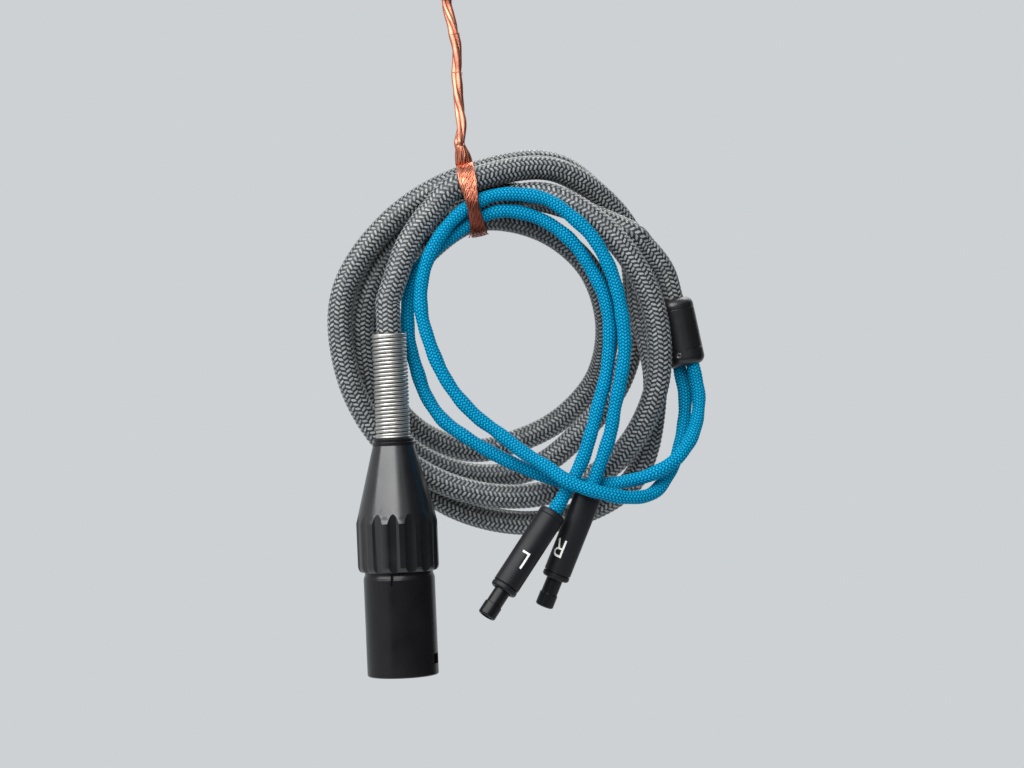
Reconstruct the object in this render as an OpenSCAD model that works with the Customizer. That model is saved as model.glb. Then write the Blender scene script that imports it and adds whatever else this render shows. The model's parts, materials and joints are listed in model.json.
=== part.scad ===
// A hand-wound hank of headphone cable with an XLR-size plug at one end, a splitter and two
// blue leads with small headphone plugs at the other, held by a copper tie and hung from a
// copper rope. Millimetres, +X to the right, +Y away from the viewer, +Z up.
// Origin: the inside top of the hanging loop, where a hook carries the whole.

/* [XLR plug shell] */
// Outer diameter of the shell
shell_d = 19; // [18.6:0.1:19.4]
// Thickness of the shell's wall round the socket
shell_wall = 1.3; // [1.1:0.1:1.4]
// Length from the rim to the neck
shell_len = 27; // [26:0.5:29]
// Rounding of the rim and of the shoulder
shell_edge = 0.6; // [0.3:0.1:0.8]
// Depth of the step from the shell down to the neck
neck_step = 0.4; // [0.3:0.05:0.6]
// Length of the neck
neck_len = 0.8; // [0.5:0.1:1.5]
// Depth of the step from the neck down to the thread
thread_step = 0.6; // [0.5:0.05:0.8]
// Length of the thread
thread_len = 9; // [8:0.5:10]
// Thickness of the wall inside the thread
thread_wall = 1.2; // [1.1:0.05:1.4]
// Width of the key slot at the top of the shell
key_slot_w = 0.8; // [0.4:0.1:1]
// Length of the key slot
key_slot_len = 2.7; // [2:0.1:4]
// Width of the latch window in the shell's wall
latch_w = 4; // [3:0.5:5]
// Height of the latch window
latch_h = 2.7; // [2:0.1:3.5]
// Distance from the rim to the latch window
latch_z = 3; // [2:0.5:5]

/* [XLR plug inside] */
// Distance from the insert's ledge to the shell's shoulder
ledge_setback = 2; // [1.5:0.5:3]
// Length of the insert's front disc
insert_len = 10; // [8:0.5:10.5]
// Length of the insert's rear spigot
spigot_len = 4; // [3:0.5:5]
// Diameter of a contact pin
contact_d = 2.4; // [2.2:0.1:2.6]
// Diameter of the circle through the contacts
contact_pcd = 8.7; // [8.4:0.1:9]
// Number of contact pins
contact_count = 4; // [3:1:4]
// Depth of the contact tips below the rim
contact_recess = 1.5; // [1:0.1:3]
// Diameter of a contact's solder tail
tail_d = 1.9; // [1.8:0.1:2.1]
// Length of a solder tail
tail_len = 8; // [7:0.5:9]
// Bore of a solder cup
cup_d = 1.5; // [1.4:0.1:1.6]
// Depth of a solder cup
cup_len = 2.5; // [2:0.1:3]
// Diameter of a soldered wire
wire_d = 1.3; // [1:0.1:1.35]
// Width of the ground contact
ground_w = 2.4; // [2:0.1:3]
// Thickness of the ground contact
ground_t = 0.4; // [0.3:0.05:0.5]
// Gap between the chuck's flange and the bore round it
chuck_gap = 0.2; // [0.1:0.05:0.4]
// Thickness of the chuck's flange
chuck_flange = 1.6; // [1:0.1:2]
// Length of the chuck's taper
chuck_len = 15; // [10:0.5:15]
// Diameter of the taper at its large end
chuck_big_d = 10; // [9.6:0.1:10.4]
// Diameter of the taper at its small end
chuck_small_d = 9; // [8.6:0.1:9.4]
// Width of a slot in the chuck
chuck_slot = 0.8; // [0.5:0.1:1.2]
// Distance from the chuck's front face back to the cable's cut end
strip_len = 4.85; // [4:0.05:6]

/* [XLR plug backshell] */
// Diameter of the fluted grip
grip_d = 21.7; // [21:0.1:23]
// Length of the fluted grip
grip_len = 13; // [11:0.5:14]
// Length of the cone behind the grip
cone_len = 20.4; // [18:0.2:24]
// Diameter of the cone's small end and of the rear collar
cone_end_d = 11.2; // [10.8:0.1:12]
// Number of flutes round the grip
flute_count = 15; // [12:1:16]
// Diameter of the cutter that mills a flute
flute_d = 4.8; // [3.4:0.1:5.4]
// Depth of a flute
flute_depth = 0.65; // [0.4:0.05:0.9]
// How far the rounding of the grip's open edge goes in
grip_edge = 0.9; // [0.3:0.1:1.2]
// How far up the grip the rounding starts
grip_edge_len = 1.8; // [0.6:0.1:2.4]
// Depth of the threaded bore in the backshell
thread_bore_len = 9.8; // [9.3:0.1:10.5]
// Thickness of the wall at the cone's small end
rear_wall = 4.3; // [3:0.1:5]
// Diameter of the inside of the cone at its small end
cavity_end_d = 9.8; // [9.7:0.1:9.9]

/* [Rear collar and spring] */
// Visible length of the rear collar
collar_len = 1.8; // [1.4:0.1:3]
// Bore of the rear collar
collar_bore_d = 7.4; // [7.2:0.1:7.6]
// Diameter of the collar's sleeve, which turns in the cone
sleeve_d = 8.2; // [8:0.1:8.4]
// Diameter of the lip that keeps the collar in the cone
lip_d = 9.3; // [9:0.1:9.4]
// Thickness of the lip
lip_len = 1; // [0.6:0.1:1.4]
// Outer diameter of the strain relief spring
spring_d = 9.3; // [9:0.1:9.8]
// Diameter of the spring's wire
spring_wire = 0.6; // [0.5:0.05:0.6]
// Rise of the spring in one curl
spring_pitch = 1; // [1:0.01:1.2]
// Number of curls in the spring
spring_curls = 27; // [20:1:28]

/* [Cables] */
// Diameter of the main cable
cable_d = 6.8; // [6.5:0.1:6.8]
// Diameter of a lead
lead_d = 4; // [3.8:0.1:4]
// Diameter of the hanging rope
rope_d = 2.8; // [2.4:0.1:3.2]

/* [Splitter] */
// Diameter of the splitter
splitter_d = 11; // [10.8:0.1:11.4]
// Length of the splitter
splitter_len = 18.4; // [17:0.2:19]
// Length of the splitter's top cap
top_cap_len = 3; // [2.8:0.1:4]
// Length of the splitter's bottom cap
bottom_cap_len = 4.3; // [4.1:0.1:5]
// Rounding of the splitter's ends
splitter_round = 2.2; // [1:0.1:2.6]
// Inner diameter of the splitter's barrel
splitter_bore_d = 9.7; // [9.6:0.1:9.8]
// Length of a cap's spigot inside the barrel
cap_spigot = 2; // [1.5:0.1:2.5]
// Distance between the two leads where they leave the splitter
lead_pitch = 4.5; // [4.4:0.05:4.6]
// Diameter of the set screw
screw_d = 1.6; // [1.2:0.1:1.8]
// Length of the set screw
screw_len = 1.8; // [1.4:0.1:2]

/* [Headphone plugs] */
// Diameter of a plug's barrel
barrel_d = 7.3; // [7:0.1:7.6]
// Length of the barrel with its rear cap and front ring
barrel_len = 25; // [24:0.5:27]
// Bore of the barrel
barrel_bore_d = 5.8; // [5.6:0.1:6]
// Length of the rear cap outside the barrel
rear_cap_len = 1.7; // [1.2:0.1:2.4]
// Length of the front ring
front_ring_len = 1.4; // [1.2:0.1:3]
// Width of the groove between the barrel and the front ring
groove_w = 0.3; // [0.2:0.1:0.6]
// Diameter of the plug's nose
nose_d = 4.9; // [4.6:0.1:5]
// Length of the nose in front of the ring
nose_len = 8; // [7:0.5:9]
// Bore of the nose
nose_bore_d = 3.4; // [3.2:0.1:3.5]
// How much thinner the nose is at its foot, on each side
nose_relief = 0.25; // [0.2:0.05:0.3]
// Length of the thinner foot in front of the ring
nose_relief_len = 4.3; // [0.2:0.1:5]
// Chamfer at the nose's tip
nose_edge = 0.35; // [0.2:0.05:0.5]
// Width of the key groove inside the nose's tip
nose_notch_w = 1.2; // [0.8:0.1:1.6]
// How deep the key groove goes into the nose's wall
nose_notch_depth = 0.25; // [0.15:0.05:0.35]
// Length of the key groove
nose_notch_len = 1.6; // [1:0.1:2.4]
// Depth of the insulator's face below the nose's tip
nose_recess = 1.2; // [0.8:0.1:2]
// Diameter of a headphone plug's contact
pin_d = 0.8; // [0.6:0.05:0.9]
// Distance between the two contacts of a headphone plug
pin_pitch = 1.6; // [1.5:0.1:1.8]

/* [Tie and hanging loop] */
// Width of the copper tie band
band_w = 4; // [3:0.5:5]
// Thickness of the copper tie band
band_t = 0.8; // [0.5:0.1:1.2]
// Diameter of the hitch between the rope and the tie band
hitch_d = 4.8; // [4:0.1:6]
// Height of the hitch
hitch_h = 4; // [3:0.1:4]
// Diameter of the rope in the hanging loop
loop_rope_d = 2.2; // [2:0.1:2.4]
// Inner radius of the hanging loop
loop_r = 4; // [3.8:0.1:4.5]
// Diameter of the knot under the hanging loop
knot_d = 6.6; // [6.4:0.1:7.5]
// Height of the knot under the hanging loop
knot_h = 3.9; // [3:0.1:3.9]

/* [Hidden] */
$fn = 96;

// Clearances: seated pieces, the thread, the collar that turns, and a cable in its hole
seat_gap = 0.05;
// The gap under the spring's first curl
spring_seat_gap = 0.1;
thread_gap = 0.1;
turn_gap = 0.08;
entry_gap = 0.1;
// How far a cutter runs past what it cuts
past = 1;

// --- Places of the rigid pieces -----------------------------------------------------------
// The plug's rim centre and how far the plug leans from the vertical
plug_at = [-10.87, -9, -196];
plug_lean = -2.4;
// Diameters from the shell inwards, then heights on the plug's own axis, counted from the rim
shell_bore_d = shell_d - 2 * shell_wall;
neck_d = shell_d - 2 * neck_step;
thread_d = neck_d - 2 * thread_step;
rear_bore_d = thread_d - 2 * thread_wall;
chuck_d = rear_bore_d - 2 * chuck_gap;
ledge_z = shell_len - ledge_setback;
insert_face = ledge_z - insert_len;
grip_z = shell_len + neck_len;
thread_end_z = grip_z + thread_len;
cone_z = grip_z + grip_len;
collar_z = cone_z + cone_len;
spring_z = collar_z + collar_len;
spring_foot = spring_wire + spring_seat_gap;
spring_top_z = spring_z + spring_foot + spring_curls * spring_pitch + spring_wire / 2;
chuck_z = thread_end_z - chuck_flange - seat_gap;
cable_end_z = chuck_z + strip_len;
// The key slot and the latch window are turned by these from the viewer's side and from +X
key_slot_turn = -9;
latch_turn = -15;
// The first flute is turned a little to the left of the viewer's side
flute_turn = -3;

// The splitter's top and its lean; the leads' line across its bottom; its screw
splitter_at = [61.3, 2.5, -95.6];
splitter_lean = -12.4;
lead_turn = -39;
screw_turn = -18;
screw_z = 15.3;

// Each headphone plug's rear end, its lean from straight down, and its swing to the front
left_at = [29.1, -13, -152.5];
left_lean = 33.5;
left_swing = 12;
right_at = [38.8, -10, -147.1];
right_lean = 21.7;
right_swing = -2.3;

// --- The hank ------------------------------------------------------------------------------
// The main cable's loops go clockwise round this middle, seen from the front. Each row below is
// one turn of twelve stations, 30 degrees apart from the tie on: the reach from the middle, and
// how far behind the front plane the cable lies there. The hank was wound by hand, so no two
// turns are alike.
mid_x = 15.5;
mid_z = -107.5;
tie_turn = 347;
station_turn = 30;
turn_reach = [
    [44.0, 49.0, 46.5, 39.0, 43.5, 51.5, 50.0, 46.5, 42.5, 38.0, 39.0, 39.5],
    [37.0, 41.5, 41.0, 41.5, 43.0, 44.0, 42.0, 41.0, 41.5, 42.5, 45.0, 44.5],
    [46.0, 51.0, 45.5, 37.5, 34.0, 32.5, 35.5, 37.5, 39.0, 36.0, 34.0, 32.5],
    [34.5, 33.0, 31.5, 29.5, 28.0, 26.5, 27.0, 31.0, 34.0, 36.5, 39.0, 41.0]
];
turn_depth = [
    [-7.5, 1.0, 10.0, 9.0, 6.5, 7.0, 9.0, 10.0, 10.0, 7.0, 4.5, 4.5],
    [-0.5, -4.0, -6.5, -6.5, -5.0, -0.5, 1.5, 2.0, 2.0, 0.0, -1.0, -1.0],
    [0.0, 9.0, 17.5, 16.5, 15.0, 18.0, 20.0, 20.0, 18.5, 15.0, 11.0, 9.5],
    [7.0, 7.0, 9.0, 15.5, 25.5, 29.0, 30.0, 29.5, 27.5, 23.5, 18.0, 12.0]
];
// The run from the plug to the first turn, and from the last turn to the splitter, as
// [station, reach, depth]
lead_in = [[-1, 36.5, -8.5], [-0.5, 40, -8]];
lead_out = [[0, 42, 8], [1, 40.5, 4], [2, 45, 0.5]];
// Two more points on the way out of the plug and into the splitter
plug_bend = [-12.5, -9, -89];
splitter_bend = [[54, 1.5, -81.5], [59, 2.5, -88]];
// How far the cable reaches into the splitter, and how far straight it leaves the spring
cable_in_splitter = 6;
spring_run = 8.5;
// 24 rings to a loop: two to a station
station_steps = 2;
hank_sides = 6;
// The gap to itself is measured this finely, and past this many points on, where it has turned away
measure_steps = 4;
measure_skip = 20;

// --- The free cords, from end to end -------------------------------------------------------
lead_left_route = [
    [68.5, -0.5, -122.5], [67.5, -4.5, -129], [65, -9, -134.5], [61, -12, -139],
    [55, -12.5, -142.5], [48, -10, -144.5], [41, -6, -145.5], [33.5, -5, -145],
    [26.5, -6.5, -143], [19, -7, -140], [12, -7, -136.5], [5.5, -7, -132.5],
    [-0.5, -6, -128], [-5, -4.5, -121.5], [-7.5, -4, -114.5], [-9.5, -3.5, -107],
    [-10, -3.5, -99], [-9, -3.5, -91.5], [-5, -4, -85], [0.5, -5, -80], [7, -6.5, -75.5],
    [14, -8, -72.5], [21.5, -8, -73], [28.5, -8, -76], [34.5, -8.5, -81], [39, -8.5, -87.5],
    [42.5, -9, -94.5], [44, -9, -102], [44, -9, -109.5], [43, -9.5, -117], [41, -10, -124.5],
    [39, -10.5, -132], [36.5, -10.5, -139.5]
];
lead_right_route = [
    [65, 2.5, -122], [64.5, 0, -129], [63, -3.5, -136], [60, -7, -142.5],
    [55.5, -11, -147.5], [49, -15, -148.5], [41, -17.5, -147], [33.5, -17, -144.5],
    [27.5, -14.5, -140.5], [21, -12, -136.5], [14.5, -10.5, -131.5], [8.5, -10, -127],
    [3, -10, -121], [-1, -10, -114.5], [-4, -10, -107], [-6, -10, -99.5], [-6, -9.5, -92],
    [-4, -9.5, -84.5], [0, -9, -77.5], [5.5, -9, -72], [12.5, -9.5, -68.5], [20, -10, -68],
    [27.5, -10.5, -69.5], [34, -11, -74], [39.5, -11.5, -79.5], [43.5, -11.5, -86.5],
    [46, -11.5, -93.5], [47.5, -11.5, -101.5], [48, -11.5, -109.5], [47, -11.5, -117],
    [45.5, -11, -124.5], [44, -10.5, -132.5]
];
rope_run = 1.5;
rope_route = [
    [1.2, -0.5, -19], [2.3, -1, -23], [3.1, -1.2, -27], [3.4, -1.6, -31], [3.3, -2, -35],
    [3.3, -2.5, -39], [3.7, -3, -43], [4.4, -4, -47.5], [4.4, -5.5, -51.5]
];
cord_sides = 8;
// How far a lead reaches into the splitter and into its plug, and its straight run outside
lead_in_splitter = 7.4;
lead_in_plug = 5;
lead_run = 4;
// Where each lead lies under the tie, as reach and depth
tied_right = [37.4, -9.2];
tied_left = [33.4, -6.8];
// The tie stands off the strands a little, because they slant through it
band_gap = 0.6;

// --- Functions -----------------------------------------------------------------------------
function unit(v) = v / norm(v);
function lean_axis(lean) = [sin(lean), 0, cos(lean)];
function plug_point(z) = plug_at + z * lean_axis(plug_lean);
function splitter_point(z) = splitter_at - z * lean_axis(splitter_lean);
function down_axis(lean, swing) =
    [-cos(swing) * sin(lean), -sin(swing), -cos(swing) * cos(lean)];

// A point of the hank from its station, reach and depth
function hank_point(station, reach, depth) =
    let (turn = tie_turn + station_turn * station)
    [mid_x + reach * sin(turn), depth, mid_z + reach * cos(turn)];

// The smooth curve through four neighbours, t of the way from the second to the third
function between(a, b, c, d, t) =
    0.5 * (2 * b + (c - a) * t + (2 * a - 5 * b + 4 * c - d) * t * t
    + (3 * b - a - 3 * c + d) * t * t * t);
function smooth(p, steps) =
    let (n = len(p))
    [for (i = [0:n - 2])
        let (a = i == 0 ? 2 * p[0] - p[1] : p[i - 1],
             d = i == n - 2 ? 2 * p[n - 1] - p[n - 2] : p[i + 2])
        for (j = [0:steps - 1]) between(a, p[i], p[i + 1], d, j / steps),
     p[n - 1]];

// The direction of a route at one of its points, and a side direction carried along it from
// this one
first_side = [0, 1, 0.1];
function heading(p, i) = unit(p[min(i + 1, len(p) - 1)] - p[max(i - 1, 0)]);
function across(side, along) = unit(side - (side * along) * along);
function sides_along(p) =
    [for (i = 0, side = across(first_side, heading(p, 0));
          i < len(p);
          i = i + 1, side = i < len(p) ? across(side, heading(p, i)) : side) side];

// Points every part of a step along a route, and the least distance between strands less d
function divide(p, steps) =
    [for (i = [0:len(p) - 2], j = [0:steps - 1]) p[i] + (p[i + 1] - p[i]) * j / steps,
     p[len(p) - 1]];
function least_gap(p, d, skip) =
    min([for (i = [0:len(p) - 1 - skip]) min([for (j = [i + skip:len(p) - 1]) norm(p[i] - p[j])])])
    - d;

// The main cable's route: out of the spring, round the loops and into the splitter
hank_stations = concat(
    [for (s = lead_in) hank_point(s[0], s[1], s[2])],
    [for (turn = [0:len(turn_reach) - 1], s = [0:len(turn_reach[turn]) - 1])
        hank_point(s, turn_reach[turn][s], turn_depth[turn][s])],
    [for (s = lead_out) hank_point(s[0], s[1], s[2])]
);
hank_route = concat(
    [plug_point(spring_top_z + seat_gap)],
    smooth(concat([plug_point(spring_top_z + spring_run), plug_bend], hank_stations,
        splitter_bend, [splitter_point(0)]), station_steps),
    [splitter_point(cable_in_splitter)]
);

// The two leads' places across the splitter's bottom
function lead_spot(side) =
    splitter_point(splitter_len)
    + side * lead_pitch / 2 * [cos(lead_turn) * cos(splitter_lean), sin(lead_turn),
        -cos(lead_turn) * sin(splitter_lean)];
function lead_route(side, middle, at, lean, swing) = concat(
    [lead_spot(side) + lead_in_splitter * lean_axis(splitter_lean), lead_spot(side),
     lead_spot(side) - lead_run * lean_axis(splitter_lean)],
    middle,
    [at - lead_run * down_axis(lean, swing), at + lead_in_plug * down_axis(lean, swing)]
);

// The spring's route on the plug's axis: a straight foot on the collar, then the curls
spring_r = (spring_d - spring_wire) / 2;
curl_rings = 8;
spring_route = concat(
    [[spring_r, 0, spring_z]],
    [for (i = [0:spring_curls * curl_rings])
        let (turn = 360 * i / curl_rings)
        [spring_r * cos(turn), spring_r * sin(turn),
         spring_z + spring_foot + spring_pitch * i / curl_rings]],
    [[spring_r, spring_wire, spring_z + spring_foot + spring_pitch * spring_curls]]
);

// The strands that the tie holds, as [reach, depth, diameter]
tied = [
    for (turn = [0:3]) [turn_reach[turn][0], turn_depth[turn][0], cable_d],
    [lead_out[0][1], lead_out[0][2], cable_d],
    [tied_right[0], tied_right[1], lead_d],
    [tied_left[0], tied_left[1], lead_d]
];
// The hitch stands square on the band between the first and the third turn's strands
hitch_share = 0.45;
flank = unit([turn_reach[2][0] - turn_reach[0][0], turn_depth[2][0] - turn_depth[0][0]]);
flank_out = [flank[1], -flank[0]];
hitch_foot = [turn_reach[0][0], turn_depth[0][0]] * (1 - hitch_share)
    + [turn_reach[2][0], turn_depth[2][0]] * hitch_share
    + (cable_d / 2 + band_gap + band_t + seat_gap) * flank_out;
hitch_top = hitch_foot + hitch_h * flank_out;
tie_lift = 1;
function tie_point(spot) =
    [mid_x + spot[0] * sin(tie_turn + tie_lift), spot[1], mid_z + spot[0] * cos(tie_turn + tie_lift)];

// The hanging loop: its middle, and the knot that closes it
loop_ring_r = loop_r + loop_rope_d / 2;
leg_turn = 30;
loop_steps = 12;
loop_sides = 12;
leg_x = 1.6;
knot_top_z = -10.9;
loop_half = [for (i = [0:loop_steps / 2])
    let (turn = 90 - (90 + leg_turn) * 2 * i / loop_steps)
    [loop_ring_r * cos(turn), 0, loop_ring_r * sin(turn) - loop_r]];
leg = [[leg_x, 0, knot_top_z + loop_rope_d / 2], [leg_x, 0, knot_top_z + seat_gap]];
function mirrored(p) = [for (i = [len(p) - 1:-1:0]) [-p[i][0], p[i][1], p[i][2]]];
loop_route = concat(mirrored(leg), mirrored(loop_half), [for (i = [1:loop_steps / 2]) loop_half[i]], leg);
knot_x = 0.4;
knot_round = 1.2;
hitch_round = 1;
rope_start_z = knot_top_z - knot_h - seat_gap;
hanger_route = concat([[knot_x, 0, rope_start_z], [knot_x, 0, rope_start_z - rope_run]], rope_route,
    [tie_point(hitch_top + rope_run * flank_out), tie_point(hitch_top + seat_gap * flank_out)]);

// --- Shared modules ------------------------------------------------------------------------
module on_plug() {
    translate(plug_at) rotate([0, plug_lean, 0]) children();
}

module on_splitter() {
    translate(splitter_at) rotate([0, splitter_lean, 0]) children();
}

module on_headphone_plug(at, lean, swing) {
    translate(at) rotate([swing, 180 + lean, 0]) children();
}

module at_tie() {
    translate([mid_x, 0, mid_z]) rotate([0, tie_turn + tie_lift - 90, 0]) children();
}

// A ring with a square section
module ring(outer_d, inner_d, z, h) {
    difference() {
        translate([0, 0, z]) cylinder(d = outer_d, h = h);
        translate([0, 0, z - past]) cylinder(d = inner_d, h = h + 2 * past);
    }
}

// One closed tube of flat sides along a route
module tube(p, d, sides) {
    n = len(p);
    side = sides_along(p);
    points = [for (i = [0:n - 1])
        let (along = heading(p, i), up = cross(along, side[i]))
        for (k = [0:sides - 1])
            p[i] + d / 2 * (cos(360 * k / sides) * side[i] + sin(360 * k / sides) * up)];
    walls = [for (i = [0:n - 2], k = [0:sides - 1])
        let (a = i * sides + k, b = i * sides + (k + 1) % sides)
        each [[a, a + sides, b + sides], [a, b + sides, b]]];
    last = (n - 1) * sides;
    ends = [for (k = [1:sides - 2]) each [[0, k, k + 1], [last, last + k + 1, last + k]]];
    polyhedron(points = points, faces = concat(walls, ends), convexity = 10);
}

// A short barrel with rounded edges, standing on the origin
module knob(d, h, round) {
    steps = 8;
    rotate_extrude()
        polygon(concat(
            [[0, 0]],
            [for (i = [0:steps])
                let (a = -90 + 90 * i / steps)
                [d / 2 - round + round * cos(a), round + round * sin(a)]],
            [for (i = [0:steps])
                let (a = 90 * i / steps)
                [d / 2 - round + round * cos(a), h - round + round * sin(a)]],
            [[0, h]]
        ));
}

// --- The XLR plug --------------------------------------------------------------------------
module xlr_shell() {
    wall_mid = (shell_d + shell_bore_d) / 4;
    color("#1b1a20") on_plug() difference() {
        rotate_extrude() polygon([
            [shell_bore_d / 2, 0], [shell_d / 2 - shell_edge / 2, 0],
            [shell_d / 2, shell_edge / 2], [shell_d / 2, shell_len - 2 * shell_edge],
            [shell_d / 2 - shell_edge / 4, shell_len - shell_edge],
            [neck_d / 2, shell_len],
            [neck_d / 2, grip_z - seat_gap], [thread_d / 2, grip_z - seat_gap],
            [thread_d / 2, thread_end_z], [rear_bore_d / 2, thread_end_z],
            [rear_bore_d / 2, ledge_z], [shell_bore_d / 2, ledge_z]
        ]);
        rotate([0, 0, key_slot_turn])
            translate([-key_slot_w / 2, -shell_d, shell_len - key_slot_len])
                cube([key_slot_w, shell_d - wall_mid, key_slot_len + neck_len / 2]);
        rotate([0, 0, latch_turn])
            translate([shell_bore_d / 2 - past, -latch_w / 2, latch_z])
                cube([shell_d / 2, latch_w, latch_h]);
    }
}

// A part placed at every contact
module each_contact() {
    for (i = [0:contact_count - 1])
        rotate([0, 0, 360 * i / contact_count]) translate([contact_pcd / 2, 0, 0]) children();
}

shoulder_depth = 1;
contact_shoulder_z = ledge_z - shoulder_depth;
tail_end_z = contact_shoulder_z + tail_len;
ground_turn = 45;
disc_d = shell_bore_d - 2 * entry_gap;
spigot_d = rear_bore_d - 2 * entry_gap;
// The ground contact runs down a slot in the disc, steps in under the ledge and on in the spigot
strip_r = disc_d / 2 - ground_t - seat_gap;
ground_tail_r = spigot_d / 2 - 4 * ground_t;
ground_step_z = ledge_z - ground_t - 2 * seat_gap;
ground_foot_z = insert_face + ground_t;
ground_tail_len = 6;

module xlr_insert() {
    hole_gap = 2 * seat_gap;
    color("#232326") on_plug() difference() {
        union() {
            translate([0, 0, insert_face]) cylinder(d = disc_d, h = insert_len - seat_gap);
            translate([0, 0, insert_face]) cylinder(d = spigot_d, h = insert_len + spigot_len);
        }
        each_contact() {
            translate([0, 0, insert_face - past])
                cylinder(d = contact_d + hole_gap, h = contact_shoulder_z + seat_gap - insert_face + past);
            translate([0, 0, insert_face])
                cylinder(d = tail_d + hole_gap, h = insert_len + spigot_len + past);
        }
        rotate([0, 0, ground_turn]) {
            translate([strip_r - seat_gap, -ground_w / 2 - seat_gap, ground_foot_z - seat_gap])
                cube([disc_d, ground_w + hole_gap, insert_len]);
            translate([ground_tail_r - seat_gap, -ground_w / 2 - seat_gap, ground_step_z - seat_gap])
                cube([disc_d, ground_w + hole_gap, spigot_len + past]);
        }
    }
}

module xlr_contacts() {
    tip = contact_d / 4;
    color("#c9a95a") on_plug() each_contact() difference() {
        rotate_extrude() polygon([
            [0, contact_recess], [contact_d / 2 - tip, contact_recess],
            [contact_d / 2, contact_recess + tip], [contact_d / 2, contact_shoulder_z],
            [tail_d / 2, contact_shoulder_z], [tail_d / 2, tail_end_z], [0, tail_end_z]
        ]);
        translate([0, 0, tail_end_z - cup_len]) cylinder(d = cup_d, h = cup_len + past);
    }
}

module xlr_ground_contact() {
    step_top_z = ground_step_z + ground_t;
    color("#b8b4a6") on_plug() rotate([0, 0, ground_turn]) translate([0, -ground_w / 2, 0])
        rotate([90, 0, 0]) translate([0, 0, -ground_w]) linear_extrude(ground_w) polygon([
            [strip_r, ground_foot_z], [strip_r + ground_t, ground_foot_z],
            [strip_r + ground_t, step_top_z], [ground_tail_r + ground_t, step_top_z],
            [ground_tail_r + ground_t, step_top_z + ground_tail_len],
            [ground_tail_r, step_top_z + ground_tail_len],
            [ground_tail_r, ground_step_z], [strip_r, ground_step_z]
        ]);
}

module plug_wires() {
    start_r = contact_pcd / 2;
    end_r = cable_d / 4;
    color("#8a3b2e") on_plug() for (i = [0:contact_count - 1])
        rotate([0, 0, 360 * i / contact_count])
            tube([
                [start_r, 0, tail_end_z - cup_len + seat_gap], [start_r, 0, tail_end_z + wire_d / 2],
                [(start_r + 3 * end_r) / 4, 0, chuck_z],
                [end_r, 0, chuck_z + 2 * wire_d], [end_r, 0, cable_end_z]
            ], wire_d, cord_sides);
}

module xlr_chuck() {
    bore_d = cable_d + entry_gap;
    chuck_end_z = chuck_z + chuck_flange + chuck_len;
    color("#d6d2c8") on_plug() difference() {
        union() {
            translate([0, 0, chuck_z]) cylinder(d = chuck_d, h = chuck_flange);
            translate([0, 0, chuck_z + chuck_flange])
                cylinder(d1 = chuck_big_d, d2 = chuck_small_d, h = chuck_len);
        }
        translate([0, 0, chuck_z - past]) cylinder(d = bore_d, h = chuck_end_z - chuck_z + 2 * past);
        for (turn = [0, 90])
            rotate([0, 0, turn]) translate([-chuck_d, -chuck_slot / 2, chuck_z + 2 * chuck_flange])
                cube([2 * chuck_d, chuck_slot, chuck_len]);
    }
}

module xlr_backshell() {
    thread_r = thread_d / 2 + thread_gap;
    cavity_z = grip_z + thread_bore_len;
    wall_z = collar_z - rear_wall;
    edge_steps = 6;
    color("#2b2d31") on_plug() difference() {
        rotate_extrude() polygon([
            [thread_r, grip_z],
            for (i = [0:edge_steps])
                let (a = 90 * i / edge_steps)
                [grip_d / 2 - grip_edge + grip_edge * sin(a),
                 grip_z + grip_edge_len - grip_edge_len * cos(a)],
            [grip_d / 2, cone_z], [cone_end_d / 2, collar_z],
            [sleeve_d / 2 + turn_gap, collar_z], [sleeve_d / 2 + turn_gap, wall_z],
            [cavity_end_d / 2, wall_z], [rear_bore_d / 2, cavity_z], [thread_r, cavity_z]
        ]);
        for (i = [0:flute_count - 1])
            rotate([0, 0, -90 + flute_turn + 360 * i / flute_count])
                translate([(grip_d + flute_d) / 2 - flute_depth, 0, grip_z - past])
                    cylinder(d = flute_d, h = grip_len + cone_len, $fn = 48);
    }
}

module rear_collar() {
    lip_z = collar_z - rear_wall - seat_gap;
    groove = 0.4;
    color("#212226") on_plug() rotate_extrude() polygon([
        [collar_bore_d / 2, lip_z - lip_len], [lip_d / 2, lip_z - lip_len], [lip_d / 2, lip_z],
        [sleeve_d / 2, lip_z], [sleeve_d / 2, collar_z + seat_gap],
        [cone_end_d / 2, collar_z + seat_gap], [cone_end_d / 2, collar_z + collar_len / 2],
        [cone_end_d / 2 - groove, collar_z + collar_len / 2],
        [cone_end_d / 2 - groove, collar_z + collar_len / 2 + groove],
        [cone_end_d / 2 - groove / 2, collar_z + collar_len / 2 + groove],
        [cone_end_d / 2 - groove / 2, spring_z], [collar_bore_d / 2, spring_z]
    ]);
}

module strain_spring() {
    echo(spring_least_gap = least_gap(divide(spring_route, 2), spring_wire, curl_rings));
    color("#a9a9a7") on_plug() tube(spring_route, spring_wire, hank_sides);
}

// --- The main cable ------------------------------------------------------------------------
module cable_end() {
    color("#565a5e") on_plug() translate([0, 0, cable_end_z])
        cylinder(d = cable_d, h = spring_top_z - cable_end_z);
}

module main_cable() {
    echo(hank_least_gap = least_gap(divide(hank_route, measure_steps), cable_d, measure_skip));
    color("#565a5e") tube(hank_route, cable_d, hank_sides);
}

// --- The splitter --------------------------------------------------------------------------
// Its own axis points up, from its top at 0 down to minus its length
barrel_top_z = -top_cap_len;
barrel_end_z = bottom_cap_len - splitter_len;
cap_d = splitter_bore_d - 2 * seat_gap;

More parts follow.
